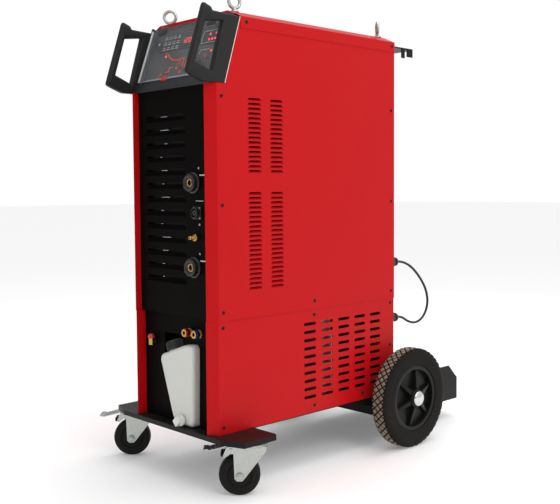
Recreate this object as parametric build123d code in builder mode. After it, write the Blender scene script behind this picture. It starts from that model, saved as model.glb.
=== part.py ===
"""Upright TIG welder with water cooler, on a chassis with two casters and two rear wheels.

Millimetres. The origin is on the floor under the middle of the body. +X is the machine's right as
seen from its front, the front faces -Y and +Z is up.
"""
from build123d import *
from math import atan2, cos, pi, radians, sin, tan
import os

os.makedirs("parts", exist_ok=True)

# Body
body_width = 345.0
body_depth = 672.0
deck_z = 142.0
split_z = 416.0
step_z = 980.0
shoulder_z = 1142.0
roof_z = 1160.0
sheet = 1.5
half = body_width / 2
front = -body_depth / 2
rear = body_depth / 2
lower_inset = 2.0
lower_half = half - lower_inset
corner_x = 26.0
corner_y = 18.0
upper_recess = 18.6
lower_recess = 29.0
joint_gap = 0.3

# Console: a sloping plane whose y runs up the slope and whose z points out of it
console_y = front + 20.5
console_z = 1009.0
console_tilt = 19.57
console_length = 150.0
console_half = 156.0
cheek = 4.4
panel_depth = 16.0
panel_sheet = 3.0
cover_sheet = 3.0
cover_half = 151.0
hinge_up = 150.0
hinge_in = 6.0
hinge_pin_r = 1.5
hinge_barrel_r = 4.0
visor_y = front + 84.0

# Handles
handle_inner = 156.0
handle_width = 18.0
edge_low_y = front + 43.0
edge_high_y = front + 93.0

# Chassis
plate_half = 262.0
plate_front = front - 6.0
plate_rear = front + 126.0
plate_thickness = 12.0
plate_skin = 3.0
rail_x = 80.0
rail_width = 24.0
rail_bottom = 112.0
axle_y = rear - 12.0
axle_z = 140.0
axle_r = 10.0
tunnel_y = rear - 34.0
tunnel_z = 166.0

# Rear wheels
wheel_r = 140.0
tyre_inner_r = 92.0
tyre_width = 50.0
tyre_x = 237.0
hub_r = 26.0
hub_width = 62.0
axle_end = 272.0

# Casters
caster_x = 226.0
caster_y = front + 82.0
caster_heading = 228.0
caster_plate_z = 135.0
caster_trail = 38.0
caster_axle_z = 50.0
caster_wheel_r = 50.0
caster_wheel_width = 36.0
kingpin_r = 6.0
cheek_inner = 21.0
cheek_sheet = 3.0
pedal_x = 58.0
pedal_z = 114.0
pedal_pin_r = 3.0
running = 0.05

# Side grilles
louvre_length = 46.0
louvre_height = 6.6
louvre_lean = 52.0
louvre_pitch = 11.6
louvre_columns_y = 173.5
louvre_column_gap = 73.5
louvre_blocks = ((861.0, 16), (604.0, 21))
slot_length = 44.0
slot_height = 8.0
slot_column_pitch = 65.5
slot_row_pitch = 21.5
slot_centre_y = 459.0
slot_centre_z = 281.0

# Front fittings, as heights and offsets on the front panels
socket_x = 80.0
socket_heights = (747.0, 541.0)
socket_r = 21.0
insert_r = 11.0
pin_hole_r = 6.5
connector_x = 95.0
connector_z = 674.0
nozzle_x = 91.0
nozzle_z = 614.0
coupling_z = 378.0
coupling_xs = (52.0, 90.0)
coupling_tube_r = 7.5
bleed_x = -103.0
bleed_y = front + 17.0

# Coolant tank
tank_front = front + 8.5
tank_rear = front + 190.0
cap_r = 28.5
neck_r = 22.0
drain_x = 40.0
drain_z = 158.0

# Rear fittings
gland_x = 148.0
gland_upper_z = 517.0
gland_lower_z = 354.0
gland_length = 36.0
cable_r = 3.6
switch_x = -90.0
switch_z = 690.0
tray_half = 140.0
tray_floor_z = 58.0

# Inner parts
fan_z = 900.0
fan_r = 94.0
radiator_y = front + 380.0
cooler_fan_z = 268.0
cooler_fan_r = 88.0


def save(builder, label):
    """Label a finished piece and write it as its own STEP file."""
    builder.part.label = label
    export_step(builder.part, f"parts/{label}.step")


def slab(x0, x1, y0, y1, z0, z1, mode=Mode.ADD):
    """A box between two corners, added to or cut from the current part."""
    with Locations(((x0 + x1) / 2, (y0 + y1) / 2, (z0 + z1) / 2)):
        Box(x1 - x0, y1 - y0, z1 - z0, mode=mode)


def disc(plane, radius, length, mode=Mode.ADD):
    """A cylinder that starts on a plane and grows along its normal."""
    with BuildSketch(plane) as circle:
        Circle(radius)
    extrude(circle.sketch, amount=length, mode=mode)


def polygon(plane, points, length, mode=Mode.ADD):
    """An outline given by its corners, grown along the plane's normal."""
    with BuildSketch(plane) as outline:
        with BuildLine():
            Polyline(*points, close=True)
        make_face()
    extrude(outline.sketch, amount=length, mode=mode)


def facing_front(x, y, z):
    """A plane that looks out of the front of the machine."""
    return Plane((x, y, z), x_dir=(1, 0, 0), z_dir=(0, -1, 0))


def facing_rear(x, y, z):
    """A plane that looks out of the back of the machine."""
    return Plane((x, y, z), x_dir=(-1, 0, 0), z_dir=(0, 1, 0))


def facing_right(x, y, z):
    """A plane that looks to +X, with its x along +Y."""
    return Plane((x, y, z), x_dir=(0, 1, 0), z_dir=(1, 0, 0))


def along_y(y):
    """The XZ plane at a given y, growing towards +Y, with its x along +X and its y down."""
    return Plane((0, y, 0), x_dir=(1, 0, 0), z_dir=(0, 1, 0))


def mirrored(builder, label):
    """Write the left-hand copy of a right-hand piece."""
    with BuildPart() as left:
        mirror(builder.part, about=Plane.YZ)
    save(left, label)


# ---------------------------------------------------------------- shells

def shell_side(outer, recess, bottom, top):
    """A side panel's bent sheet: front return flange, corner bevel and side wall."""
    with BuildSketch(Plane.XY.offset(bottom)) as plan:
        with BuildLine():
            Polyline(
                (outer - corner_x, front + recess),
                (outer - corner_x, front),
                (outer, front + corner_y),
                (outer, rear),
            )
            offset(amount=sheet, side=Side.LEFT)
        make_face()
    extrude(plan.sketch, amount=top - bottom)


with BuildPart() as upper_side:
    shell_side(half, upper_recess, split_z + joint_gap, shoulder_z - joint_gap)
    # The edge steps back above the front panel and slopes up behind the handle.
    with BuildSketch(Plane.YZ.offset(half - corner_x - sheet)):
        with BuildLine():
            Polyline(
                (front - 1, step_z),
                (edge_low_y, step_z),
                (edge_high_y, shoulder_z),
                (front - 1, shoulder_z),
                close=True,
            )
        make_face()
    extrude(amount=corner_x + 2 * sheet, mode=Mode.SUBTRACT)
    for centre_z, rows in louvre_blocks:
        with BuildSketch(Plane.YZ.offset(half - 2 * sheet)):
            with Locations((front + louvre_columns_y, centre_z)):
                with GridLocations(louvre_column_gap, louvre_pitch, 2, rows):
                    Trapezoid(louvre_length, louvre_height, louvre_lean)
        extrude(amount=3 * sheet, mode=Mode.SUBTRACT)
save(upper_side, "upper_side_right")
mirrored(upper_side, "upper_side_left")

with BuildPart() as lower_side:
    shell_side(lower_half, lower_recess, deck_z, split_z)
    with BuildSketch(Plane.YZ.offset(lower_half - 2 * sheet)):
        with Locations((front + slot_centre_y, slot_centre_z)):
            with GridLocations(slot_column_pitch, slot_row_pitch, 5, 10):
                SlotOverall(slot_length, slot_height)
    extrude(amount=3 * sheet, mode=Mode.SUBTRACT)
    # Notch that lets the rear axle through.
    slab(lower_half - 5, lower_half + 5, tunnel_y - 6, rear + 1, deck_z - 1, tunnel_z + 4, Mode.SUBTRACT)
save(lower_side, "lower_side_right")
mirrored(lower_side, "lower_side_left")

flange_z = 1115.0
bevel_x = 35.0
with BuildPart() as roof:
    with BuildSketch(along_y(visor_y)):
        with BuildLine():
            Polyline(
                (half + sheet, -flange_z),
                (half + sheet, -shoulder_z - 1),
                (half - bevel_x, -roof_z),
                (bevel_x - half, -roof_z),
                (-half - sheet, -shoulder_z - 1),
                (-half - sheet, -flange_z),
            )
            offset(amount=sheet, side=Side.RIGHT)
        make_face()
    extrude(amount=rear - visor_y)
    # The handles stand where the side flanges would start.
    for side in (1, -1):
        x0 = min(side * (handle_inner - joint_gap), side * (half + 5))
        x1 = max(side * (handle_inner - joint_gap), side * (half + 5))
        slab(x0, x1, visor_y - 1, edge_high_y + joint_gap, flange_z - 1, roof_z + 1, Mode.SUBTRACT)
    # Down-turned lip along the front edge.
    slab(bevel_x - half, half - bevel_x, visor_y, visor_y + sheet, roof_z - 9, roof_z - sheet)
save(roof, "roof_cover")

front_panel_half = 168.0
louvre_rows = 13
front_louvre_pitch = 33.8
front_louvre_length = 178.0
front_louvre_height = 16.0
front_louvre_lean = 49.0
front_louvre_centre = (-34.0, 707.0)
with BuildPart() as front_upper:
    slab(-front_panel_half, front_panel_half, front + upper_recess, front + upper_recess + sheet,
         split_z + joint_gap, step_z)
    slab(-front_panel_half, front_panel_half, front + upper_recess, front + lower_recess + 8,
         split_z + joint_gap, split_z + joint_gap + sheet)
    with BuildSketch(facing_front(0, front + upper_recess - 1, 0)):
        with Locations(front_louvre_centre):
            with GridLocations(1, front_louvre_pitch, 1, louvre_rows):
                Trapezoid(front_louvre_length, front_louvre_height, front_louvre_lean)
    extrude(amount=-(sheet + 2), mode=Mode.SUBTRACT)
    for z in socket_heights:
        disc(facing_front(socket_x, front + upper_recess, z), insert_r, -sheet, Mode.SUBTRACT)
save(front_upper, "front_upper_panel")

# The tank's outline, seen from the front, and the cap's place on its sloping top.
tank_outline = (
    (8.0, deck_z), (78.0, deck_z), (82.0, 338.0), (74.0, 348.0), (46.0, 347.0), (-52.0, 312.0),
    (-57.0, 302.0), (-4.0, 156.0),
)
slope = atan2(347.0 - 312.0, 46.0 + 52.0)
pocket_left = -60.0
pocket_right = 24.0
pocket_top = 366.0
neck_x = -16.0
neck_z = 312.0 + (neck_x + 52.0) * tan(slope)
neck_y = front + 39.0
neck = Plane((neck_x, neck_y, neck_z), x_dir=(cos(slope), 0, sin(slope)),
             z_dir=(-sin(slope), 0, cos(slope)))

with BuildPart() as front_lower:
    slab(-front_panel_half, front_panel_half, front + lower_recess, front + lower_recess + sheet,
         deck_z, split_z)
    # Opening that the tank stands in, 2 mm larger than the tank all round.
    with BuildSketch(facing_front(0, front + lower_recess - 1, 0)):
        with BuildLine():
            Polyline(*tank_outline, close=True)
        make_face()
        offset(amount=2.0)
    extrude(amount=-(sheet + 2), mode=Mode.SUBTRACT)
    # Pocket round the filler cap: an opening, a cheek each side, a roof and a back wall over the tank.
    pocket_front = front + lower_recess
    pocket_back = neck_y + cap_r + 4
    slab(pocket_left, pocket_right, pocket_front - 1, pocket_front + sheet + 1, 300, pocket_top, Mode.SUBTRACT)
    slab(pocket_left - sheet, pocket_left, pocket_front, pocket_back + sheet, 296, pocket_top + sheet)
    slab(pocket_right, pocket_right + sheet, pocket_front, pocket_back + sheet, 345, pocket_top + sheet)
    slab(pocket_left, pocket_right, pocket_front, pocket_back + sheet, pocket_top, pocket_top + sheet)
    with BuildSketch(facing_rear(0, pocket_back, 0)) as wall:
        with BuildLine():
            Polyline((-pocket_left, 319), (52, 316), (-pocket_right, 344), (-pocket_right, pocket_top),
                     (-pocket_left, pocket_top), close=True)
        make_face()
    extrude(wall.sketch, amount=sheet)
save(front_lower, "front_lower_panel")

with BuildPart() as rear_upper:
    slab(sheet - half, half - sheet, rear - sheet, rear, split_z + joint_gap, shoulder_z - joint_gap)
    with BuildSketch(facing_rear(0, rear + 1, fan_z)):
        with GridLocations(58, 16, 3, 11):
            SlotOverall(50, 7)
    extrude(amount=-(sheet + 2), mode=Mode.SUBTRACT)
save(rear_upper, "rear_upper_panel")

with BuildPart() as rear_lower:
    slab(sheet - lower_half, lower_half - sheet, rear - sheet, rear, tunnel_z, split_z)
    with BuildSketch(facing_rear(0, rear + 1, 330)):
        with GridLocations(58, 16, 3, 7):
            SlotOverall(50, 7)
    extrude(amount=-(sheet + 2), mode=Mode.SUBTRACT)
save(rear_lower, "rear_lower_panel")

with BuildPart() as mid_deck:
    slab(sheet - lower_half, lower_half - sheet, front + lower_recess + sheet, rear - sheet,
         split_z - 3, split_z)
save(mid_deck, "mid_deck")

# ---------------------------------------------------------------- console

tilt = radians(console_tilt)
console = Plane((0, console_y, console_z), x_dir=(1, 0, 0), z_dir=(0, -cos(tilt), sin(tilt)))


def on_console(x, up, out):
    """A plane parallel to the console's slope, at a place on it."""
    return Plane(console.from_local_coords(Vector(x, up, out)), x_dir=(1, 0, 0), z_dir=console.z_dir)


def console_slab(x0, x1, up0, up1, out0, out1, mode=Mode.ADD):
    """A box whose sides follow the console's slope."""
    with BuildSketch(on_console((x0 + x1) / 2, (up0 + up1) / 2, out0)) as base:
        Rectangle(x1 - x0, up1 - up0)
    extrude(base.sketch, amount=out1 - out0, mode=mode)


knob_x = 62.0
knob_up = 38.0
knob_r = 14.0
button_places = (("select_button_left", -78.0, 20.0), ("select_button_right", 92.0, 52.0))
button_r = 5.5
button_travel = 1.5
panel_back = -(panel_depth + panel_sheet)

with BuildPart() as tray:
    # Back wall behind the control panel, two cheeks beside the cover, and the ledge below it.
    console_slab(-console_half, console_half, -4, console_length + 4, panel_back - 3, panel_back)
    for side in (1, -1):
        x0 = min(side * (console_half - cheek), side * console_half)
        console_slab(x0, x0 + cheek, -4, console_length + 4, panel_back, 0)
    console_slab(-console_half, console_half, -7, -4, panel_back - 3, -4)
    ledge_y = front + upper_recess
    slab(-console_half, console_half, ledge_y - 10, ledge_y + 30, step_z, step_z + 3)
    slab(-console_half, console_half, ledge_y - 10, ledge_y - 7, step_z + 3, step_z + 20)
    for x in (-console_half, console_half - cheek):
        polygon(facing_right(x, 0, 0), ((ledge_y - 7, step_z + 3), (ledge_y + 30, step_z + 3),
                                        (ledge_y + 22, step_z + 22), (ledge_y - 7, step_z + 20)), cheek)
    # Hinge rod between the cheeks.
    rod = Plane(console.from_local_coords(Vector(-console_half, hinge_up, -hinge_in)),
                x_dir=(0, 1, 0), z_dir=(1, 0, 0))
    disc(rod, hinge_pin_r, 2 * console_half)
save(tray, "console_tray")

with BuildPart() as control_panel:
    console_slab(cheek - console_half, console_half - cheek, -4, 143, panel_back, -panel_depth)
    disc(on_console(knob_x, knob_up, panel_back), 3.3, panel_sheet, Mode.SUBTRACT)
    for label, x, up in button_places:
        disc(on_console(x, up, panel_back), button_r + joint_gap, panel_sheet, Mode.SUBTRACT)
save(control_panel, "control_panel")

with BuildPart() as knob:
    disc(on_console(knob_x, knob_up, joint_gap - panel_depth), knob_r, 10)
    disc(on_console(knob_x, knob_up, panel_back + joint_gap), 3.25, panel_sheet)
save(knob, "encoder_knob")

for label, x, up in button_places:
    with BuildPart() as button:
        disc(on_console(x, up, panel_back + button_travel + joint_gap), button_r, 4.5)
    save(button, label)

with BuildPart() as cover:
    console_slab(-cover_half, cover_half, 0, 146, -cover_sheet, 0)
    for side in (1, -1):
        x0 = min(side * (cover_half - cover_sheet), side * cover_half)
        console_slab(x0, x0 + cover_sheet, 0, 140, -11, -cover_sheet)
    # Pull tab on the lower edge.
    console_slab(-48, -28, -6, 0, -cover_sheet, 0)
    # Barrels that turn on the hinge rod, each on a web from the sheet's upper edge.
    for centre in (-100, 100):
        console_slab(centre - 18, centre + 18, 142, hinge_up, -hinge_in, -cover_sheet)
        barrel = Plane(console.from_local_coords(Vector(centre - 18, hinge_up, -hinge_in)),
                       x_dir=(0, 1, 0), z_dir=(1, 0, 0))
        disc(barrel, hinge_barrel_r, 36)
        disc(barrel, hinge_pin_r + running, 36, Mode.SUBTRACT)
save(cover, "clear_cover")

with BuildPart() as handle:
    with BuildSketch(facing_right(handle_inner, 0, 0)) as outline:
        with BuildLine():
            Polyline(
                (front - 15, 1163),
                (front + 7, 1154),
                (front + 9, 1146),
                (edge_high_y - joint_gap, shoulder_z),
                (edge_low_y - joint_gap, step_z + joint_gap),
                (front - 20, step_z + joint_gap),
                (front - 52, 991),
                (front - 68, 998),
                close=True,
            )
        make_face()
        fillet(outline.vertices(), 3)
        with BuildLine():
            Polyline((front - 11, 1120), (front + 41, 1127), (front + 6, 1004), (front - 41, 1025), close=True)
        make_face(mode=Mode.SUBTRACT)
    extrude(amount=handle_width)
save(handle, "handle_right")
mirrored(handle, "handle_left")

# ---------------------------------------------------------------- chassis

with BuildPart() as base_plate:
    with BuildSketch(Plane.XY.offset(deck_z - plate_thickness)) as plan:
        with BuildLine():
            Polyline(
                (60 - plate_half, plate_front),
                (plate_half - 60, plate_front),
                (plate_half, plate_front + 22),
                (plate_half, plate_rear - 8),
                (plate_half - 12, plate_rear),
                (12 - plate_half, plate_rear),
                (-plate_half, plate_rear - 8),
                (-plate_half, plate_front + 22),
                close=True,
            )
        make_face()
    extrude(amount=plate_thickness)
    with BuildSketch(Plane.XY.offset(deck_z - plate_thickness)):
        add(plan.sketch)
        offset(amount=-plate_skin, mode=Mode.REPLACE)
    extrude(amount=plate_thickness - plate_skin, mode=Mode.SUBTRACT)
save(base_plate, "base_plate")

floor_half = lower_half - sheet
with BuildPart() as under_frame:
    for side in (1, -1):
        slab(side * rail_x - rail_width / 2, side * rail_x + rail_width / 2, plate_rear, tunnel_y,
             rail_bottom, deck_z - plate_skin)
    slab(-floor_half, floor_half, plate_rear, tunnel_y, deck_z - plate_skin, deck_z)
    # Raised step that the axle runs under.
    slab(-floor_half, floor_half, tunnel_y - plate_skin, tunnel_y, deck_z, tunnel_z)
    slab(-floor_half, floor_half, tunnel_y - plate_skin, rear - sheet, tunnel_z - plate_skin, tunnel_z)
    # Gusset plates that carry the axle.
    for x in (-floor_half, floor_half - 6):
        with BuildSketch(facing_right(x, 0, 0)):
            with BuildLine():
                Polyline(
                    (front + 482, deck_z - plate_skin),
                    (front + 590, 112),
                    (rear + 4, 112),
                    (rear + 4, tunnel_z - plate_skin),
                    (tunnel_y, tunnel_z - plate_skin),
                    (tunnel_y, deck_z - plate_skin),
                    close=True,
                )
            make_face()
        extrude(amount=6)
    disc(facing_right(-half, axle_y, axle_z), axle_r, body_width, Mode.SUBTRACT)
save(under_frame, "under_frame")

with BuildPart() as axle:
    disc(facing_right(-axle_end, axle_y, axle_z), axle_r, 2 * axle_end)
    # Collars that stop each hub from sliding inwards.
    for x in (half + 20, -half - 32):
        disc(facing_right(x, axle_y, axle_z), axle_r + 5, 12)
save(axle, "rear_axle")

wheel_centre = facing_front(0, axle_y, axle_z)
wheel_axis = Axis((0, axle_y, axle_z), (1, 0, 0))
hub_face = tyre_x + hub_width / 2
cap_outer_r = 21.0


def turned(points):
    """A solid turned about the rear axle from an outline of (distance along X, radius) corners."""
    with BuildSketch(wheel_centre) as outline:
        with BuildLine():
            Polyline(*points, close=True)
        make_face()
    revolve(outline.sketch, axis=wheel_axis)


with BuildPart() as caps:
    turned((
        (hub_face + joint_gap, axle_r), (hub_face + joint_gap, cap_outer_r), (axle_end, cap_outer_r),
        (axle_end + 5, 14), (axle_end + 7, 7), (axle_end + 7, 0), (axle_end, 0), (axle_end, axle_r),
    ))
    mirror(about=Plane.YZ)
save(caps, "axle_caps")

half_tyre = tyre_width / 2
with BuildPart() as tyre:
    turned((
        (tyre_x - half_tyre + 2, tyre_inner_r), (tyre_x - half_tyre, 108), (tyre_x - half_tyre, 131),
        (tyre_x - 20, 138), (tyre_x - 10, wheel_r), (tyre_x + 10, wheel_r), (tyre_x + 20, 138),
        (tyre_x + half_tyre, 131), (tyre_x + half_tyre, 108), (tyre_x + half_tyre - 2, tyre_inner_r),
    ))
save(tyre, "tyre_right")
mirrored(tyre, "tyre_left")

web_x = tyre_x + 4
rim_r = 80.0
with BuildPart() as rim:
    turned((
        (tyre_x - hub_width / 2, axle_r + running), (hub_face, axle_r + running), (hub_face, hub_r),
        (web_x + 6, hub_r), (web_x + 6, rim_r), (tyre_x + half_tyre - 4, rim_r),
        (tyre_x + half_tyre - 4, tyre_inner_r), (tyre_x + 4 - half_tyre, tyre_inner_r),
        (tyre_x + 4 - half_tyre, rim_r), (web_x, rim_r), (web_x, hub_r), (tyre_x - hub_width / 2, hub_r),
    ))
    with Locations(facing_right(web_x + 6, axle_y, axle_z)):
        with PolarLocations((hub_r + rim_r) / 2, 6, start_angle=80):
            Box(rim_r - hub_r + 2, 7, 16)
save(rim, "rim_right")
mirrored(rim, "rim_left")

cheek_profile = (
    (-26, 121.3), (-26, 110), (26, 44), (32, 38), (44, 38), (50, 44), (52, 104), (65, 105), (68, 121.3),
)
ear_profile = ((52, 124), (52, 109), (69, 96.5), (76, 101), (68, 122))
pedal_profile = (
    (50, 121.5), (64, 121.5), (112, 110), (124, 112), (124, 114.4), (112, 112.6), (64, 124), (50, 124),
)
with BuildPart() as caster_plates:
    for side in (1, -1):
        slab(side * caster_x - 27, side * caster_x + 27, caster_y - 37, caster_y + 37,
             caster_plate_z, deck_z - plate_skin)
        swivel = Plane((side * caster_x, caster_y, 0))
        disc(swivel.offset(113), kingpin_r, caster_plate_z - 113)
        disc(swivel.offset(113), kingpin_r + 3, 5)
save(caster_plates, "caster_plates")

heading = radians(caster_heading)
for side, word in ((1, "right"), (-1, "left")):
    # Local x trails behind the swivel, local y runs along the wheel's axle.
    swivel = Plane((side * caster_x, caster_y, 0), x_dir=(cos(heading), sin(heading), 0), z_dir=(0, 0, 1))

    def beside(y):
        """A plane parallel to the caster's cheeks, with its x trailing and its y up."""
        return Plane(swivel.from_local_coords(Vector(0, y, 0)), x_dir=swivel.x_dir, z_dir=-swivel.y_dir)

    with BuildPart() as fork:
        disc(swivel.offset(118.3), 27, caster_plate_z - 118.3 - joint_gap)
        with BuildSketch(swivel.offset(118.3)):
            with Locations((2, 0)):
                Rectangle(60, 2 * (cheek_inner + cheek_sheet))
        extrude(amount=cheek_sheet)
        for y in (cheek_inner + cheek_sheet, -cheek_inner):
            polygon(beside(y), cheek_profile, cheek_sheet)
        # Axle bolt with its two heads.
        axle_length = 2 * (cheek_inner + cheek_sheet)
        for y, radius, length in ((axle_length / 2 + 4, 5, axle_length + 8), (axle_length / 2 + 4, 9, 4),
                                  (-axle_length / 2, 9, 4)):
            bolt = beside(y)
            spot = Plane(bolt.from_local_coords(Vector(caster_trail, caster_axle_z, 0)),
                         x_dir=bolt.x_dir, z_dir=bolt.z_dir)
            disc(spot, radius, length)
        disc(swivel.offset(118), kingpin_r + running, 20, Mode.SUBTRACT)
        edge = beside(axle_length)
        pivot = Plane(edge.from_local_coords(Vector(pedal_x, pedal_z, 0)), x_dir=edge.x_dir, z_dir=edge.z_dir)
        disc(pivot, pedal_pin_r + running, 2 * axle_length, Mode.SUBTRACT)
    save(fork, f"caster_fork_{word}")

    with BuildPart() as caster_wheel:
        face = beside(caster_wheel_width / 2)
        hub = Plane(face.from_local_coords(Vector(caster_trail, caster_axle_z, 0)),
                    x_dir=face.x_dir, z_dir=face.z_dir)
        disc(hub, caster_wheel_r, caster_wheel_width)
        chamfer(caster_wheel.edges().filter_by(GeomType.CIRCLE), 5)
        disc(hub, 5 + running, caster_wheel_width, Mode.SUBTRACT)
    save(caster_wheel, f"caster_wheel_{word}")

    with BuildPart() as pedal:
        for y in (20, -17.5):
            polygon(beside(y), ear_profile, 2.5)
        polygon(beside(20), pedal_profile, 40)
        pin = beside(axle_length / 2)
        disc(Plane(pin.from_local_coords(Vector(pedal_x, pedal_z, 0)), x_dir=pin.x_dir, z_dir=pin.z_dir),
             pedal_pin_r, axle_length)
        shoe = beside(18)
        disc(Plane(shoe.from_local_coords(Vector(73, 98, 0)), x_dir=shoe.x_dir, z_dir=shoe.z_dir), 4, 36)
    save(pedal, f"brake_pedal_{word}")

with BuildPart() as cylinder_tray:
    tray_end = rear + 358
    slab(-tray_half, tray_half, rear, tray_end, tray_floor_z, tray_floor_z + 3)
    slab(-tray_half, tray_half, rear, rear + 3, tray_floor_z, 240)
    slab(-tray_half, tray_half, tray_end - 3, tray_end, tray_floor_z, tray_floor_z + 24)
    side_outline = (
        (rear, tray_floor_z), (tray_end, tray_floor_z), (tray_end, 125), (tray_end - 43, 168), (rear, 168),
    )
    for x in (-tray_half, tray_half - 3):
        polygon(facing_right(x, 0, 0), side_outline, 3)
save(cylinder_tray, "cylinder_tray")

bracket_half = 168.0
with BuildPart() as bracket:
    slab(-bracket_half, bracket_half, rear, rear + 3, 1090, 1130)
    slab(-bracket_half, bracket_half, rear, rear + 90, 1130, 1134)
    # Curved seat for the cylinder.
    with BuildSketch(Plane.XY.offset(1129)):
        with Locations((0, rear + 150)):
            Circle(118)
    extrude(amount=6, mode=Mode.SUBTRACT)
    # Turned-down ends, each split by a slot for the strap.
    for x in (-bracket_half, bracket_half - 3):
        slab(x, x + 3, rear + 40, rear + 54, 1105, 1130)
        slab(x, x + 3, rear + 65, rear + 90, 1110, 1130)
save(bracket, "cylinder_bracket")

# ---------------------------------------------------------------- fasteners

upper_screws = ((32, 950), (32, 693), (32, 437), (658, 951), (658, 694), (658, 438), (344, 438))
lower_screws = ((32, 400), (32, 160), (657, 403), (657, 282), (344, 401), (344, 160), (536, 161))
roof_screws = ((112, 1131), (660, 1131))
screw_r = 4.5
with BuildPart() as screws:
    for x, places in ((half, upper_screws), (lower_half, lower_screws), (half + sheet, roof_screws)):
        for y, z in places:
            disc(facing_right(x, front + y, z), screw_r, 2.5)
    mirror(about=Plane.YZ)
save(screws, "panel_screws")

ring_r = 15.5
ring_wire_r = 4.0
eye_places = ((-130, front + 112, 45), (130, front + 112, 80), (-130, front + 648, 60), (130, front + 648, -42))
with BuildPart() as eye_bolts:
    for x, y, turn in eye_places:
        disc(Plane((x, y, roof_z)), 10, 3)
        disc(Plane((x, y, roof_z)), 5, 9)
        facing = (sin(radians(turn)), -cos(radians(turn)), 0)
        with Locations(Plane((x, y, roof_z + 6 + ring_r + ring_wire_r), z_dir=facing)):
            Torus(ring_r, ring_wire_r)
save(eye_bolts, "eye_bolts")

# ---------------------------------------------------------------- front fittings

panel_front = front + upper_recess
with BuildPart() as sockets:
    for z in socket_heights:
        disc(facing_front(socket_x, panel_front, z), 26, 3)
        disc(facing_front(socket_x, panel_front, z), socket_r, 17)
        disc(facing_front(socket_x, panel_front, z), insert_r, 18, Mode.SUBTRACT)
save(sockets, "socket_housings")

insert_front = 13.0
insert_length = 32.0
with BuildPart() as inserts:
    for z in socket_heights:
        mouth = facing_front(socket_x, panel_front - insert_front, z)
        disc(mouth, insert_r, -insert_length)
        disc(mouth, pin_hole_r, -(insert_length - 4), Mode.SUBTRACT)
save(inserts, "socket_inserts")

with BuildPart() as connector:
    place = facing_front(connector_x, panel_front, connector_z)
    with BuildSketch(place):
        RectangleRounded(30, 30, 4)
    extrude(amount=3)
    disc(place, 13, 12)
    disc(place.offset(4), 10.5, 9, Mode.SUBTRACT)
    disc(place, 8, 9)
save(connector, "control_connector")

with BuildPart() as nozzle:
    place = facing_front(nozzle_x, panel_front, nozzle_z)
    with BuildSketch(place):
        RegularPolygon(9, 6)
    extrude(amount=8)
    disc(place, 5, 24)
    disc(place.offset(4), 3, 21, Mode.SUBTRACT)
save(nozzle, "gas_nozzle")

lower_front = front + lower_recess
with BuildPart() as fittings:
    for x in coupling_xs:
        place = facing_front(x, lower_front, coupling_z)
        with BuildSketch(place):
            RegularPolygon(11, 6)
        extrude(amount=6)
        disc(place, coupling_tube_r, 24)
        disc(place.offset(21), 9.5, 3)
        disc(place.offset(6), 5, 20, Mode.SUBTRACT)
    # Bleed valve: a stub from the panel and an upright body with its spindle.
    disc(facing_front(bleed_x, lower_front, 338), 5, lower_front - bleed_y)
    disc(Plane((bleed_x, bleed_y, 329)), 7, 17)
    disc(Plane((bleed_x, bleed_y, 346)), 2.5, 8)
save(fittings, "coolant_fittings")

for x, label in zip(coupling_xs, ("coupling_sleeve_red", "coupling_sleeve_blue")):
    with BuildPart() as sleeve:
        place = facing_front(x, lower_front, coupling_z).offset(11.5)
        disc(place, 11, 9)
        disc(place, coupling_tube_r + running, 9, Mode.SUBTRACT)
    save(sleeve, label)

with BuildPart() as bleed_knob:
    disc(Plane((bleed_x, bleed_y, 346 + joint_gap)), 9, 10)
    disc(Plane((bleed_x, bleed_y, 346)), 2.5 + running, 8 + joint_gap, Mode.SUBTRACT)
save(bleed_knob, "bleed_knob")

neck_height = 14.0
with BuildPart() as tank:
    with BuildSketch(facing_front(0, tank_front, 0)) as outline:
        with BuildLine():
            Polyline(*tank_outline, close=True)
        make_face()
        fillet(outline.vertices(), 5)
    extrude(amount=tank_front - tank_rear)
    disc(neck, neck_r, neck_height)
    disc(neck.offset(2), neck_r - 5, neck_height, Mode.SUBTRACT)
    disc(facing_front(drain_x, tank_front, drain_z), 8, 16)
save(tank, "coolant_tank")

with BuildPart() as filler_cap:
    disc(neck.offset(1.5), cap_r, 24)
    disc(neck.offset(1.5), neck_r + joint_gap, neck_height - 1.5 + joint_gap, Mode.SUBTRACT)
save(filler_cap, "filler_cap")

with BuildPart() as drain_cap:
    spout = facing_front(drain_x, tank_front, drain_z)
    disc(spout.offset(3), 14, 22)
    disc(spout.offset(3), 8 + joint_gap, 13 + joint_gap, Mode.SUBTRACT)
save(drain_cap, "drain_cap")

# ---------------------------------------------------------------- rear fittings

with BuildPart() as glands:
    for x, z in ((gland_x, gland_upper_z), (gland_x, gland_lower_z), (switch_x, 560.0)):
        place = facing_rear(x, rear, z)
        with BuildSketch(place):
            RegularPolygon(15, 6)
        extrude(amount=8)
        disc(place, 11, gland_length)
    disc(facing_rear(switch_x, rear, 560.0).offset(6), 6, gland_length, Mode.SUBTRACT)
save(glands, "cable_glands")

with BuildPart() as switch_base:
    place = facing_rear(switch_x, rear, switch_z)
    with BuildSketch(place):
        RectangleRounded(64, 64, 6)
    extrude(amount=8)
    disc(place, 16, 14)
    disc(place, 4, 30)
save(switch_base, "switch_base")

with BuildPart() as switch_knob:
    place = facing_rear(switch_x, rear, switch_z).offset(14 + joint_gap)
    disc(place, 20, 8)
    with BuildSketch(place):
        RectangleRounded(38, 11, 3)
    extrude(amount=22)
    disc(place, 4 + running, 17, Mode.SUBTRACT)
save(switch_knob, "switch_knob")

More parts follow.
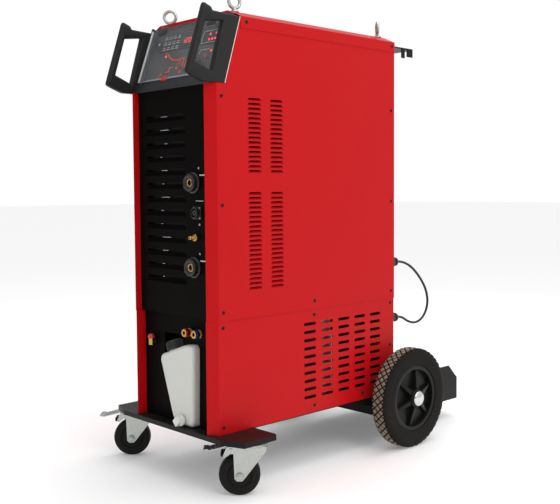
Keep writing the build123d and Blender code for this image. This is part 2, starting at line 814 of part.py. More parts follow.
# The lead leaves the upper gland, sags in a loop and comes back up into the lower gland.
lead_points = (
    (gland_x, rear + gland_length, gland_upper_z),
    (gland_x, rear + 62, gland_upper_z),
    (gland_x + 1, rear + 108, gland_upper_z - 17),
    (gland_x + 2, rear + 152, gland_upper_z - 55),
    (gland_x + 3, rear + 182, gland_upper_z - 96),
    (gland_x + 3, rear + 190, gland_upper_z - 139),
    (gland_x + 2, rear + 169, gland_upper_z - 177),
    (gland_x + 2, rear + 132, gland_upper_z - 191),
    (gland_x + 1, rear + 94, gland_upper_z - 183),
    (gland_x, rear + 62, gland_lower_z),
    (gland_x, rear + gland_length, gland_lower_z),
)


def tube_radii(points):
    """Each corner's arc: 0.45 of its shorter run, over the tangent of half the turn."""
    radii = []
    for a, b, c in zip(points, points[1:], points[2:]):
        incoming = Vector(*b) - Vector(*a)
        outgoing = Vector(*c) - Vector(*b)
        shorter = min(incoming.length, outgoing.length)
        turn = radians(incoming.get_angle(outgoing))
        radii.append(0.45 * shorter / tan(turn / 2))
    return radii


lead_radii = tube_radii(lead_points)
print("lead radii", [round(radius) for radius in lead_radii])
with BuildPart() as lead:
    with BuildLine() as route:
        FilletPolyline(*lead_points, radius=lead_radii)
    lead_path = route.wire()
    with BuildSketch(Plane(lead_points[0], z_dir=lead_path % 0)):
        Circle(cable_r)
    sweep(path=lead_path)
print("lead length", round(lead_path.length, 1))
print("lead volume over its section", round(lead.part.volume / (pi * cable_r**2), 1))
save(lead, "interconnect_lead")

# ---------------------------------------------------------------- inner parts

with BuildPart() as heatsink:
    slab(-112, 56, front + 200, front + 210, split_z, 925)
    with BuildSketch(Plane.XY.offset(split_z)):
        with Locations((-28, front + 131)):
            with GridLocations(8, 1, 21, 1):
                Rectangle(2.4, 139)
    extrude(amount=925 - split_z)
save(heatsink, "power_heatsink")

with BuildPart() as transformer:
    slab(-75, 75, front + 400, front + 470, split_z, 570)
    slab(-95, 95, front + 385, front + 485, 446, 540)
save(transformer, "main_transformer")

with BuildPart() as board:
    slab(-162, -160.4, front + 120, front + 500, split_z, 800)
    slab(-160.4, -135, front + 160, front + 240, 640, 740)
    slab(-160.4, -120, front + 300, front + 345, 560, 605)
    slab(-160.4, -120, front + 380, front + 425, 560, 605)
save(board, "control_board")


def rotor(plane, hub_radius, tip_radius, blades, length):
    """A fan rotor: a hub bored for its pin, with tilted blades."""
    disc(plane, hub_radius, length)
    with Locations(plane.offset(length / 2)):
        with PolarLocations((hub_radius + tip_radius) / 2 - 2, blades):
            Box(tip_radius - hub_radius, 3, length, rotation=(32, 0, 0))
    disc(plane, 4 + running, length, Mode.SUBTRACT)


fan_back = rear - sheet
fan_depth = 38.0
with BuildPart() as fan_frame:
    slab(-105, 105, fan_back - fan_depth, fan_back, fan_z - 105, fan_z + 105)
    disc(facing_front(0, fan_back, fan_z), fan_r, fan_depth, Mode.SUBTRACT)
    slab(-fan_r - 1, fan_r + 1, fan_back - 4, fan_back, fan_z - 6, fan_z + 6)
    slab(-6, 6, fan_back - 4, fan_back, fan_z - fan_r - 1, fan_z + fan_r + 1)
    disc(facing_front(0, fan_back, fan_z), 4, 34)
save(fan_frame, "fan_frame")

with BuildPart() as fan_rotor:
    rotor(facing_front(0, fan_back - 6, fan_z), 30, 90, 7, 26)
save(fan_rotor, "fan_rotor")

core_back = radiator_y + 45
shroud_x = 5.0
with BuildPart() as radiator:
    slab(-140, 152, radiator_y, core_back, deck_z, 400)
    disc(facing_rear(shroud_x, core_back, cooler_fan_z), cooler_fan_r + 4, 42)
    disc(facing_rear(shroud_x, core_back, cooler_fan_z), cooler_fan_r, 42, Mode.SUBTRACT)
    slab(shroud_x - cooler_fan_r - 1, shroud_x + cooler_fan_r + 1, core_back + 38, core_back + 42,
         cooler_fan_z - 6, cooler_fan_z + 6)
    disc(facing_rear(shroud_x, core_back, cooler_fan_z), 4, 40)
save(radiator, "radiator")

with BuildPart() as cooler_rotor:
    rotor(facing_rear(shroud_x, core_back + 6, cooler_fan_z), 26, 84, 6, 26)
save(cooler_rotor, "cooler_fan_rotor")

with BuildPart() as pump:
    slab(-105, -25, front + 500, front + 600, deck_z, deck_z + 14)
    disc(facing_rear(-65, front + 500, 202), 48, 105)
    disc(facing_rear(-65, front + 600, 202), 34, 33)
save(pump, "coolant_pump")
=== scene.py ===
"""The looks of an upright TIG welder on its trolley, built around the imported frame.

Shapes are worked out in millimetres in the frame's own axes and become metres when a piece is made:
+X is the machine's right, the front faces -Y and +Z is up from the floor.
"""
from math import cos, pi, radians, sin

import bmesh
import bpy
import numpy as np
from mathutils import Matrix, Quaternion, Vector


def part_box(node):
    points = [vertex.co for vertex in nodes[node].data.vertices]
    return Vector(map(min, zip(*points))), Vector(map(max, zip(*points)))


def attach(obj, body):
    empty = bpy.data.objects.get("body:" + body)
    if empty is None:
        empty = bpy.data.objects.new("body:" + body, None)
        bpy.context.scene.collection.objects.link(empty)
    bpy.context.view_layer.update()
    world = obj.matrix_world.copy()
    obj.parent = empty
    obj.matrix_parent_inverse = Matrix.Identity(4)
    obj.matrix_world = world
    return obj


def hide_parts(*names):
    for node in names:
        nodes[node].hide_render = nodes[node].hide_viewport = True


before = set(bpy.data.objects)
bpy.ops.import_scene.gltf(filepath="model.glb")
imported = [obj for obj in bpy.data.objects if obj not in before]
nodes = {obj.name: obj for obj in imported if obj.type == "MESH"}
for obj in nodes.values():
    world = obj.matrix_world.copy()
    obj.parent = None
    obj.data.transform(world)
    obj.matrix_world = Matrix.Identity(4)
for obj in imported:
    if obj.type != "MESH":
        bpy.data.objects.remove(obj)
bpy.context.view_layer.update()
MM = 0.001

front, rear = -336.0, 336.0
side_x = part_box("upper_side_right")[1][0] / MM
lower_side_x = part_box("lower_side_right")[1][0] / MM
roof_side_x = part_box("roof_cover")[1][0] / MM
panel_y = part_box("front_upper_panel")[0][1] / MM
lower_panel_y = front + 29.0

# ---------------------------------------------------------------- camera and lead


def make_camera():
    """A camera low at the machine's front right corner."""
    data = bpy.data.cameras.new("camera")
    data.lens, data.sensor_width = 56.25, 36.0
    data.shift_x, data.shift_y = 0.0043, -0.0193
    data.clip_end = 200
    camera = bpy.data.objects.new("camera", data)
    yaw, pitch, roll = radians(46.55), radians(3.33), radians(-0.4)
    look = Vector((-sin(yaw) * cos(pitch), cos(yaw) * cos(pitch), -sin(pitch)))
    camera.rotation_mode = "QUATERNION"
    camera.rotation_quaternion = look.to_track_quat("-Z", "Y") @ Quaternion((0, 0, 1), roll)
    camera.location = (1.7643, -1.6329, 0.7275)
    bpy.context.scene.collection.objects.link(camera)
    bpy.context.scene.camera = camera


make_camera()

cable_r = 3.6
gland_x, gland_y, upper_gland_z, lower_gland_z = 148.0, rear + 36, 517.0, 354.0
lead_points = (
    (gland_x, gland_y, upper_gland_z), (gland_x, rear + 62, upper_gland_z),
    (gland_x + 1, rear + 108, upper_gland_z - 17), (gland_x + 2, rear + 152, upper_gland_z - 55),
    (gland_x + 3, rear + 182, upper_gland_z - 96), (gland_x + 3, rear + 190, upper_gland_z - 139),
    (gland_x + 2, rear + 169, upper_gland_z - 177), (gland_x + 2, rear + 132, upper_gland_z - 191),
    (gland_x + 1, rear + 94, upper_gland_z - 183), (gland_x, rear + 62, lower_gland_z),
    (gland_x, gland_y, lower_gland_z),
)


def make_lead():
    """The lead between the two halves: one smooth spline from the upper gland to the lower one."""
    curve = bpy.data.curves.new("link_lead", "CURVE")
    curve.dimensions = "3D"
    curve.bevel_depth = cable_r * MM
    curve.bevel_resolution = 4
    curve.resolution_u = 10
    curve.use_fill_caps = True
    spline = curve.splines.new("NURBS")
    spline.points.add(len(lead_points) - 1)
    homogeneous = np.ones((len(lead_points), 4))
    homogeneous[:, :3] = np.array(lead_points) * MM
    spline.points.foreach_set("co", homogeneous.ravel())
    spline.order_u = 3
    spline.use_endpoint_u = True
    lead = bpy.data.objects.new("link_lead", curve)
    bpy.context.scene.collection.objects.link(lead)
    return lead


lead = make_lead()

# ---------------------------------------------------------------- shapes


def grid_faces(rows, columns, wrap_rows, wrap_columns):
    """The quads between neighbouring points of a grid, joined round where it wraps."""
    r = np.arange(rows if wrap_rows else rows - 1)[:, None]
    c = np.arange(columns if wrap_columns else columns - 1)[None, :]
    r2, c2 = (r + 1) % rows, (c + 1) % columns
    quad = (r * columns + c, r * columns + c2, r2 * columns + c2, r2 * columns + c)
    return np.stack([np.broadcast_to(q, (r.size, c.size)) for q in quad], axis=-1).reshape(-1, 4)


def skin(points, wrap_rows=False, wrap_columns=True):
    """A grid of points as a surface: its points in one list, and its quads."""
    rows, columns = points.shape[:2]
    return points.reshape(-1, 3), grid_faces(rows, columns, wrap_rows, wrap_columns)


def facing(axis):
    """Three unit vectors as rows, the last one along the axis and the first one level."""
    out = np.array(axis, float)
    out /= np.linalg.norm(out)
    up = np.array((0.0, 0.0, 1.0)) if abs(out[2]) < 0.9 else np.array((0.0, 1.0, 0.0))
    level = np.cross(up, out)
    level /= np.linalg.norm(level)
    return np.stack((level, np.cross(out, level), out))


def placed(points, origin, axis=(0, 0, 1)):
    """Points turned so that their third coordinate runs along the axis, then moved to the origin given."""
    return points @ facing(axis) + np.array(origin, float)


def softened(points, reach, steps=4, closed=False):
    """Each corner becomes a parabola whose middle control is the corner itself.

    It starts and ends the reach away from the corner, or 0.45 of the shorter run beside it.
    """
    points = np.asarray(points, float)
    before, after = np.roll(points, 1, 0) - points, np.roll(points, -1, 0) - points
    run_before = np.linalg.norm(before, axis=1, keepdims=True)
    run_after = np.linalg.norm(after, axis=1, keepdims=True)
    cut = np.minimum(reach, 0.45 * np.minimum(run_before, run_after))
    start = points + before * cut / run_before
    end = points + after * cut / run_after
    t = np.linspace(0, 1, steps + 1)[None, :, None]
    arcs = start[:, None] * (1 - t) ** 2 + 2 * points[:, None] * t * (1 - t) + end[:, None] * t**2
    if closed:
        return arcs.reshape(-1, points.shape[1])
    return np.concatenate((points[:1], arcs[1:-1].reshape(-1, points.shape[1]), points[-1:]))


def turned(profile, segments=48, flutes=0, bite=0.0):
    """A profile of (height, radius) turned about the third axis.

    Flutes take the bite from the radius as a raised cosine of the angle, on the widest part only.
    """
    profile = np.asarray(profile, float)
    angle = np.linspace(0, 2 * pi, segments, endpoint=False)[None, :]
    height, radius = profile[:, :1], profile[:, 1:]
    wide = radius > 0.97 * radius.max()
    radius = radius - bite * wide * (0.5 + 0.5 * np.cos(flutes * angle))
    return np.stack((radius * np.cos(angle), radius * np.sin(angle), height + 0 * angle), axis=-1)


def soft_box(low, high, radius, steps=3):
    """A box with rounded edges: an inner box, grown by a ball of the radius, on the ball's own grid.

    A pole row at the middle of the top and bottom closes those faces.
    """
    low, high = np.array(low, float), np.array(high, float)
    centre, half = (low + high) / 2, (high - low) / 2
    radius = min(radius, half.min() * 0.98)
    quarter = np.linspace(0, pi / 2, steps + 1)
    around = np.concatenate([quarter + k * pi / 2 for k in range(4)])
    sign_x = np.repeat((1, -1, -1, 1), steps + 1)
    sign_y = np.repeat((1, 1, -1, -1), steps + 1)
    tilt = np.concatenate((quarter - pi / 2, quarter))[:, None]
    sign_z = np.repeat((-1, 1), steps + 1)[:, None]
    inner = half - radius
    points = np.stack((
        sign_x * inner[0] + radius * np.cos(tilt) * np.cos(around),
        sign_y * inner[1] + radius * np.cos(tilt) * np.sin(around),
        sign_z * inner[2] + radius * np.sin(tilt) + 0 * around,
    ), axis=-1)
    pole = np.zeros((1, around.size, 3))
    bottom, top = pole - (0, 0, half[2]), pole + (0, 0, half[2])
    return np.concatenate((bottom, points, top)) + centre


def block(low, high, radius):
    """A box with rounded edges as a surface."""
    return skin(soft_box(low, high, radius))


def lathe(profile, segments, place, axis=(0, -1, 0), flutes=0, bite=0.0, ring=False):
    """A turned profile put in its place as a surface; on a ring the last row joins the first."""
    return skin(placed(turned(profile, segments, flutes, bite), place, axis), wrap_rows=ring)


def spun_by(angle):
    """A matrix that turns points, held as rows, about the third axis."""
    return np.array(((cos(angle), sin(angle), 0), (-sin(angle), cos(angle), 0), (0, 0, 1)))


def tube(path, radius, segments=12, flat=1.0, up=(0, 0, 1)):
    """A round section carried along a path, its height scaled by flat, with both ends drawn to a point."""
    path = np.asarray(path, float)
    along = np.gradient(path, axis=0)
    along /= np.linalg.norm(along, axis=1, keepdims=True)
    side = np.cross(along, np.array(up, float))
    side /= np.linalg.norm(side, axis=1, keepdims=True)
    rise = np.cross(side, along)
    angle = np.linspace(0, 2 * pi, segments, endpoint=False)
    ring = path[:, None] + radius * (side[:, None] * np.cos(angle)[:, None]
                                     + flat * rise[:, None] * np.sin(angle)[:, None])
    ends = [np.broadcast_to(p, (1, segments, 3)) for p in (path[0], path[-1])]
    return np.concatenate((ends[0], ring, ends[1]))


def make_piece(name, skins, material, stands_for=(), body="machine", angle=38):
    """Join surfaces into one mesh in metres: doubles merged, faces turned outwards, sharp past the angle."""
    counts = np.cumsum([0] + [len(points) for points, _ in skins])
    points = np.concatenate([p for p, _ in skins]) * MM
    faces = np.concatenate([f + start for (_, f), start in zip(skins, counts)])
    mesh = bpy.data.meshes.new(name)
    mesh.from_pydata(points.tolist(), [], faces.tolist())
    work = bmesh.new()
    work.from_mesh(mesh)
    bmesh.ops.remove_doubles(work, verts=work.verts, dist=0.01 * MM)
    bmesh.ops.dissolve_degenerate(work, edges=work.edges, dist=0.005 * MM)
    bmesh.ops.recalc_face_normals(work, faces=work.faces)
    work.to_mesh(mesh)
    work.free()
    mesh.shade_smooth()
    mesh.set_sharp_from_angle(angle=radians(angle))
    mesh.materials.append(material)
    piece = bpy.data.objects.new(name, mesh)
    bpy.context.scene.collection.objects.link(piece)
    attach(piece, body)
    if stands_for:
        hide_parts(*stands_for)
    return piece


# ---------------------------------------------------------------- finishes


def new_group(name, inputs, outputs):
    """An empty shader node group with named sockets: its tree, and its input and output nodes."""
    tree = bpy.data.node_groups.new(name, "ShaderNodeTree")
    for label, kind, value in inputs:
        socket = tree.interface.new_socket(label, in_out="INPUT", socket_type=kind)
        socket.default_value = value
    for label, kind in outputs:
        tree.interface.new_socket(label, in_out="OUTPUT", socket_type=kind)
    return tree, tree.nodes.new("NodeGroupInput"), tree.nodes.new("NodeGroupOutput")


def math_node(tree, operation, first, second=None, third=None, clamp=False):
    """A Math node fed by sockets or numbers: its output."""
    node = tree.nodes.new("ShaderNodeMath")
    node.operation = operation
    node.use_clamp = clamp
    for socket, value in zip(node.inputs, (first, second, third)):
        if isinstance(value, bpy.types.NodeSocket):
            tree.links.new(value, socket)
        elif value is not None:
            socket.default_value = value
    return node.outputs[0]


def vector_node(tree, operation, first, second):
    """A Vector Math node fed by sockets or vectors, or by a number to scale with: the node."""
    node = tree.nodes.new("ShaderNodeVectorMath")
    node.operation = operation
    tree.links.new(first, node.inputs[0])
    other = node.inputs["Scale"] if operation == "SCALE" else node.inputs[1]
    if isinstance(second, bpy.types.NodeSocket):
        tree.links.new(second, other)
    else:
        other.default_value = second
    return node


def object_place(tree):
    """The place on the object: a vector in metres."""
    return tree.nodes.new("ShaderNodeTexCoord").outputs["Object"]


def mix_colour(tree, factor, first, second):
    """A colour mix fed by sockets or colours: its output."""
    node = tree.nodes.new("ShaderNodeMix")
    node.data_type = "RGBA"
    for socket, value in zip((node.inputs[0], node.inputs[6], node.inputs[7]), (factor, first, second)):
        if isinstance(value, bpy.types.NodeSocket):
            tree.links.new(value, socket)
        else:
            socket.default_value = value
    return node.outputs[2]


def noise_on(tree, vector, scale, detail=3.0, rough=0.55):
    """A noise texture on a vector: its value."""
    node = tree.nodes.new("ShaderNodeTexNoise")
    node.inputs["Detail"].default_value = detail
    node.inputs["Roughness"].default_value = rough
    tree.links.new(vector, node.inputs["Vector"])
    if isinstance(scale, bpy.types.NodeSocket):
        tree.links.new(scale, node.inputs["Scale"])
    else:
        node.inputs["Scale"].default_value = scale
    return node.outputs["Fac"]


def make_skin_group():
    """Workshop skin: patchy shade, fine grain, and dust that settles low down and on level faces."""
    tree, given, result = new_group(
        "workshop_skin",
        (("Colour", "NodeSocketColor", (0.5, 0.5, 0.5, 1)), ("Roughness", "NodeSocketFloat", 0.5),
         ("Patch Scale", "NodeSocketFloat", 6.0), ("Patch Amount", "NodeSocketFloat", 0.1),
         ("Grain Scale", "NodeSocketFloat", 900.0), ("Dust Colour", "NodeSocketColor", (0.4, 0.36, 0.3, 1)),
         ("Dust", "NodeSocketFloat", 0.1)),
        (("Colour", "NodeSocketColor"), ("Roughness", "NodeSocketFloat"), ("Height", "NodeSocketFloat")))
    place = object_place(tree)
    patches = noise_on(tree, place, given.outputs["Patch Scale"])
    fine = noise_on(tree, place, given.outputs["Grain Scale"], 2.0)
    smears = noise_on(tree, place, 23.0, 6.0, 0.7)
    swing = math_node(tree, "MULTIPLY_ADD", patches, 2.0, -1.0)
    shade = math_node(tree, "MULTIPLY_ADD", swing, given.outputs["Patch Amount"], 1.0)
    scaled = vector_node(tree, "SCALE", given.outputs["Colour"], shade)
    split = tree.nodes.new("ShaderNodeSeparateXYZ")
    tree.links.new(place, split.inputs[0])
    low = math_node(tree, "MULTIPLY_ADD", split.outputs["Z"], -3.5, 1.0, clamp=True)
    normal = tree.nodes.new("ShaderNodeSeparateXYZ")
    tree.links.new(tree.nodes.new("ShaderNodeNewGeometry").outputs["Normal"], normal.inputs[0])
    level = math_node(tree, "MULTIPLY_ADD", normal.outputs["Z"], 2.0, -1.0, clamp=True)
    settled = math_node(tree, "MULTIPLY_ADD", low, 0.6, level)
    spread = math_node(tree, "MULTIPLY_ADD", smears, 3.0, -0.9, clamp=True)
    film = math_node(tree, "MULTIPLY", settled, spread)
    film = math_node(tree, "MULTIPLY", film, given.outputs["Dust"], clamp=True)
    tree.links.new(mix_colour(tree, film, scaled.outputs[0], given.outputs["Dust Colour"]),
                   result.inputs["Colour"])
    rough = math_node(tree, "MULTIPLY_ADD", swing, given.outputs["Patch Amount"], given.outputs["Roughness"])
    tree.links.new(math_node(tree, "MULTIPLY_ADD", film, 0.4, rough, clamp=True), result.inputs["Roughness"])
    tree.links.new(fine, result.inputs["Height"])
    return tree


def make_lines_group():
    """Tool marks: noise drawn out along one direction, as a shade and a height."""
    tree, given, result = new_group(
        "tool_marks",
        (("Stretch", "NodeSocketVector", (30.0, 900.0, 900.0)), ("Contrast", "NodeSocketFloat", 0.2)),
        (("Shade", "NodeSocketFloat"), ("Height", "NodeSocketFloat")))
    place = object_place(tree)
    drawn = vector_node(tree, "MULTIPLY", place, given.outputs["Stretch"])
    streaks = noise_on(tree, drawn.outputs[0], 1.0, 2.0)
    swing = math_node(tree, "MULTIPLY_ADD", streaks, 2.0, -1.0)
    tree.links.new(math_node(tree, "MULTIPLY_ADD", swing, given.outputs["Contrast"], 1.0),
                   result.inputs["Shade"])
    tree.links.new(streaks, result.inputs["Height"])
    return tree


skin_group, lines_group = make_skin_group(), make_lines_group()


def rgba(colour):
    """A colour with full alpha."""
    return (*colour, 1.0)


def finish(name, colour, roughness, metallic=0.0, patch=(6.0, 0.08), grain=(900.0, 0.15), dust=0.1,
           coat=0.0, marks=None, edge=0.6, sheen=0.5, dust_colour=(0.33, 0.29, 0.24), tune=None):
    """A material: the workshop skin into a Principled shader, with rounded edges under its grain."""
    material = bpy.data.materials.new(name)
    material.use_nodes = True
    tree = material.node_tree
    shader = tree.nodes["Principled BSDF"]
    skin_node = tree.nodes.new("ShaderNodeGroup")
    skin_node.node_tree = skin_group
    for label, value in (("Colour", rgba(colour)), ("Roughness", roughness), ("Patch Scale", patch[0]),
                         ("Patch Amount", patch[1]), ("Grain Scale", grain[0]),
                         ("Dust Colour", rgba(dust_colour)), ("Dust", dust)):
        skin_node.inputs[label].default_value = value
    colour_out, height = skin_node.outputs["Colour"], skin_node.outputs["Height"]
    if marks:
        marks_node = tree.nodes.new("ShaderNodeGroup")
        marks_node.node_tree = lines_group
        marks_node.inputs["Stretch"].default_value = marks[0]
        marks_node.inputs["Contrast"].default_value = marks[1]
        colour_out = vector_node(tree, "SCALE", colour_out, marks_node.outputs["Shade"]).outputs[0]
        height = math_node(tree, "ADD", height, marks_node.outputs["Height"])
    if tune:
        colour_out = tune(tree, colour_out)
    tree.links.new(colour_out, shader.inputs["Base Color"])
    tree.links.new(skin_node.outputs["Roughness"], shader.inputs["Roughness"])
    bump = tree.nodes.new("ShaderNodeBump")
    bump.inputs["Strength"].default_value = grain[1]
    bump.inputs["Distance"].default_value = 0.0006
    tree.links.new(height, bump.inputs["Height"])
    if edge:
        rounded = tree.nodes.new("ShaderNodeBevel")
        rounded.samples = 4
        rounded.inputs["Radius"].default_value = edge * MM
        tree.links.new(rounded.outputs["Normal"], bump.inputs["Normal"])
    tree.links.new(bump.outputs["Normal"], shader.inputs["Normal"])
    shader.inputs["Metallic"].default_value = metallic
    shader.inputs["Coat Weight"].default_value = coat
    shader.inputs["Specular IOR Level"].default_value = sheen
    shader.inputs["Coat Roughness"].default_value = 0.25
    return material


def glowing(name, colour, strength):
    """A small lamp or lit segment: a coloured emission over a glossy lens."""
    material = finish(name, tuple(0.4 * c for c in colour), 0.25, dust=0.0, edge=0)
    shader = material.node_tree.nodes["Principled BSDF"]
    shader.inputs["Emission Color"].default_value = rgba(colour)
    shader.inputs["Emission Strength"].default_value = strength
    return material


axle_y, axle_z = (rear - 12) * MM, 0.140
groove_floor = 0.1386


def dusty_tops(tree, colour):
    """Tan dust on whatever lies further from the rear axle than the tread's grooves."""
    place = object_place(tree)
    centred = vector_node(tree, "SUBTRACT", place, (0, axle_y, axle_z)).outputs[0]
    flat = vector_node(tree, "MULTIPLY", centred, (0, 1, 1)).outputs[0]
    size = vector_node(tree, "DISTANCE", flat, (0, 0, 0)).outputs["Value"]
    far = math_node(tree, "SUBTRACT", size, groove_floor)
    far = math_node(tree, "MULTIPLY", far, 1200.0, clamp=True)
    mottled = math_node(tree, "MULTIPLY_ADD", noise_on(tree, place, 260.0), 1.4, 0.0, clamp=True)
    return mix_colour(tree, math_node(tree, "MULTIPLY", far, mottled), colour, (0.33, 0.28, 0.21, 1))


red_coat = finish("red_powder_coat", (0.505, 0.0040, 0.0060), 0.42, patch=(3.0, 0.04), grain=(700, 0.12),
                  dust=0.01, coat=0.05, edge=0.6, sheen=0.10)
black_coat = finish("black_fine_texture_coat", (0.0030, 0.0026, 0.0023), 0.5, patch=(9, 0.10),
                    grain=(1600, 0.35), dust=0.0, sheen=0.03)
chassis_coat = finish("chassis_black_coat", (0.0060, 0.0056, 0.0052), 0.40, patch=(7, 0.12), grain=(1100, 0.25),
                      dust=0.02, edge=0.6, sheen=0.16)
handle_mould = finish("handle_grained_moulding", (0.013, 0.0125, 0.012), 0.46, patch=(12, 0.08),
                      grain=(1400, 0.6), dust=0.01, sheen=0.22)
console_mould = finish("console_moulding", (0.011, 0.013, 0.016), 0.38, patch=(10, 0.08), grain=(1500, 0.4),
                       dust=0.03)
overlay_print = finish("control_overlay", (0.022, 0.024, 0.025), 0.34, patch=(14, 0.06), grain=(2200, 0.15),
                       dust=0.02, coat=0.3)
overlay_black = finish("overlay_dark_field", (0.0035, 0.0035, 0.004), 0.30, patch=(14, 0.05), grain=(2200, 0.1),
                       dust=0.0, coat=0.1, sheen=0.3)
printed_white = finish("printed_white", (0.62, 0.63, 0.62), 0.5, patch=(60, 0.06), grain=(1800, 0.1), dust=0.02,
                       edge=0)
knob_satin = finish("knob_satin", (0.010, 0.010, 0.010), 0.34, grain=(1900, 0.25), dust=0.05)
red_gloss = finish("red_gloss_plastic", (0.48, 0.014, 0.016), 0.25, grain=(1200, 0.06), dust=0.03, coat=0.4)
blue_metal = finish("blue_anodised", (0.015, 0.08, 0.35), 0.3, metallic=0.85, grain=(1800, 0.1), dust=0.02)
red_metal = finish("red_anodised", (0.45, 0.012, 0.02), 0.3, metallic=0.85, grain=(1800, 0.1), dust=0.02)
brass = finish("turned_brass", (0.56, 0.33, 0.10), 0.27, metallic=1.0, patch=(90, 0.14), grain=(1500, 0.12),
               dust=0.05, marks=((900, 30, 900), 0.15))
zinc = finish("zinc_plated_steel", (0.46, 0.49, 0.46), 0.30, metallic=1.0, patch=(55, 0.16), grain=(900, 0.18),
              dust=0.12, marks=((500, 500, 40), 0.10))
chrome = finish("bright_chrome", (0.66, 0.66, 0.65), 0.12, metallic=1.0, patch=(40, 0.05), grain=(700, 0.04),
                dust=0.08)
turned_steel = finish("turned_steel", (0.40, 0.40, 0.39), 0.32, metallic=1.0, patch=(60, 0.10),
                      grain=(900, 0.1), dust=0.10, marks=((60, 800, 800), 0.2))
tyre_rubber = finish("tyre_rubber", (0.0095, 0.0088, 0.0078), 0.66, patch=(30, 0.16), grain=(800, 0.4),
                     dust=0.02, edge=0, sheen=0.10, tune=dusty_tops)
wheel_mould = finish("wheel_moulding", (0.0050, 0.0047, 0.0043), 0.36, patch=(22, 0.12), grain=(1000, 0.25),
                     dust=0.01, sheen=0.18)
caster_rubber = finish("caster_rubber", (0.0060, 0.0056, 0.0052), 0.5, patch=(35, 0.15), grain=(900, 0.35),
                       dust=0.02, sheen=0.14)
bottle_skin = finish("bottle_polyethylene", (0.66, 0.67, 0.63), 0.38, patch=(16, 0.05), grain=(500, 0.10),
                     dust=0.05)
white_mould = finish("white_moulding", (0.74, 0.75, 0.72), 0.4, patch=(25, 0.04), grain=(900, 0.1), dust=0.05)
socket_mould = finish("socket_thermoset", (0.009, 0.009, 0.009), 0.36, grain=(1300, 0.3), dust=0.05)
cable_jacket = finish("cable_jacket", (0.009, 0.009, 0.009), 0.48, patch=(70, 0.10), grain=(1500, 0.35),
                      dust=0.05, edge=0)
screw_black = finish("blackened_screw", (0.012, 0.012, 0.012), 0.32, metallic=0.6, patch=(90, 0.2),
                     grain=(1400, 0.15), dust=0.05)
# Painted shade: a near-black matte for places that look dark only because they lie in shade, such as openings
# and hollows.
painted_shade_black = finish("painted_shade_black", (0.002, 0.002, 0.002), 0.7, grain=(900, 0.1), dust=0.0, edge=0)
heatsink_metal = finish("extruded_aluminium", (0.62, 0.63, 0.64), 0.34, metallic=1.0, patch=(30, 0.10),
                        grain=(900, 0.1), dust=0.05, marks=((900, 900, 25), 0.2))
# Painted glints: a pale, partly metallic finish whose light colour paints the glints seen through the front
# louvres, on top of its own reflection.
glint_strip_paint = finish("painted_glint_aluminium", (0.80, 0.81, 0.82), 0.25, metallic=0.7, patch=(120, 0.3),
                      grain=(900, 0.1), dust=0.0)
winding = finish("varnished_core", (0.085, 0.035, 0.018), 0.4, patch=(40, 0.3), grain=(400, 0.4), dust=0.10,
                 marks=((40, 40, 700), 0.35))
board_mask = finish("board_solder_mask", (0.008, 0.10, 0.035), 0.3, patch=(120, 0.35), grain=(700, 0.3),
                    dust=0.05)


def clear_sheet():
    """Clear polycarbonate, faintly smoky, with soft scuffs in its roughness."""
    material = finish("clear_polycarbonate", (0.34, 0.36, 0.37), 0.07, patch=(35, 0.03), grain=(40, 0.02),
                      dust=0.0, edge=0)
    shader = material.node_tree.nodes["Principled BSDF"]
    shader.inputs["Alpha"].default_value = 0.13
    return material


clear_plastic = clear_sheet()

shader = bottle_skin.node_tree.nodes["Principled BSDF"]
shader.inputs["Subsurface Weight"].default_value = 0.35
shader.inputs["Subsurface Radius"].default_value = (0.02, 0.02, 0.018)
shader.inputs["Subsurface Scale"].default_value = 0.6

node_finish = {
    red_coat: ("roof_cover", "upper_side_right", "upper_side_left", "lower_side_right", "lower_side_left"),
    black_coat: ("front_upper_panel", "front_lower_panel", "rear_upper_panel", "rear_lower_panel", "mid_deck"),
    chassis_coat: ("base_plate", "under_frame", "cylinder_tray", "cylinder_bracket"),
    handle_mould: ("handle_right", "handle_left"),
    console_mould: ("console_tray",),
    overlay_print: ("control_panel",),
    clear_plastic: ("clear_cover",),
    knob_satin: ("encoder_knob", "filler_cap", "switch_base", "switch_knob"),
    red_gloss: ("select_button_left", "select_button_right", "bleed_knob"),
    red_metal: ("coupling_sleeve_red",),
    blue_metal: ("coupling_sleeve_blue",),
    brass: ("socket_inserts", "gas_nozzle", "coolant_fittings"),
    zinc: ("eye_bolts", "control_connector", "caster_plates", "caster_fork_right", "caster_fork_left",
           "brake_pedal_right", "brake_pedal_left"),
    chrome: ("axle_caps",),
    turned_steel: ("rear_axle",),
    tyre_rubber: ("tyre_right", "tyre_left"),
    wheel_mould: ("rim_right", "rim_left"),
    caster_rubber: ("caster_wheel_right", "caster_wheel_left"),
    bottle_skin: ("coolant_tank",),
    white_mould: ("drain_cap",),
    socket_mould: ("socket_housings", "cable_glands", "fan_frame", "fan_rotor", "cooler_fan_rotor"),
    cable_jacket: ("interconnect_lead",),
    screw_black: ("panel_screws",),
    heatsink_metal: ("power_heatsink", "radiator"),
    winding: ("main_transformer", "coolant_pump"),
    board_mask: ("control_board",),
}
for material, names in node_finish.items():
    for name in names:
        nodes[name].data.materials.clear()
        nodes[name].data.materials.append(material)

lead.data.materials.append(cable_jacket)
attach(lead, "machine")
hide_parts("interconnect_lead")

# ---------------------------------------------------------------- louvres and screws


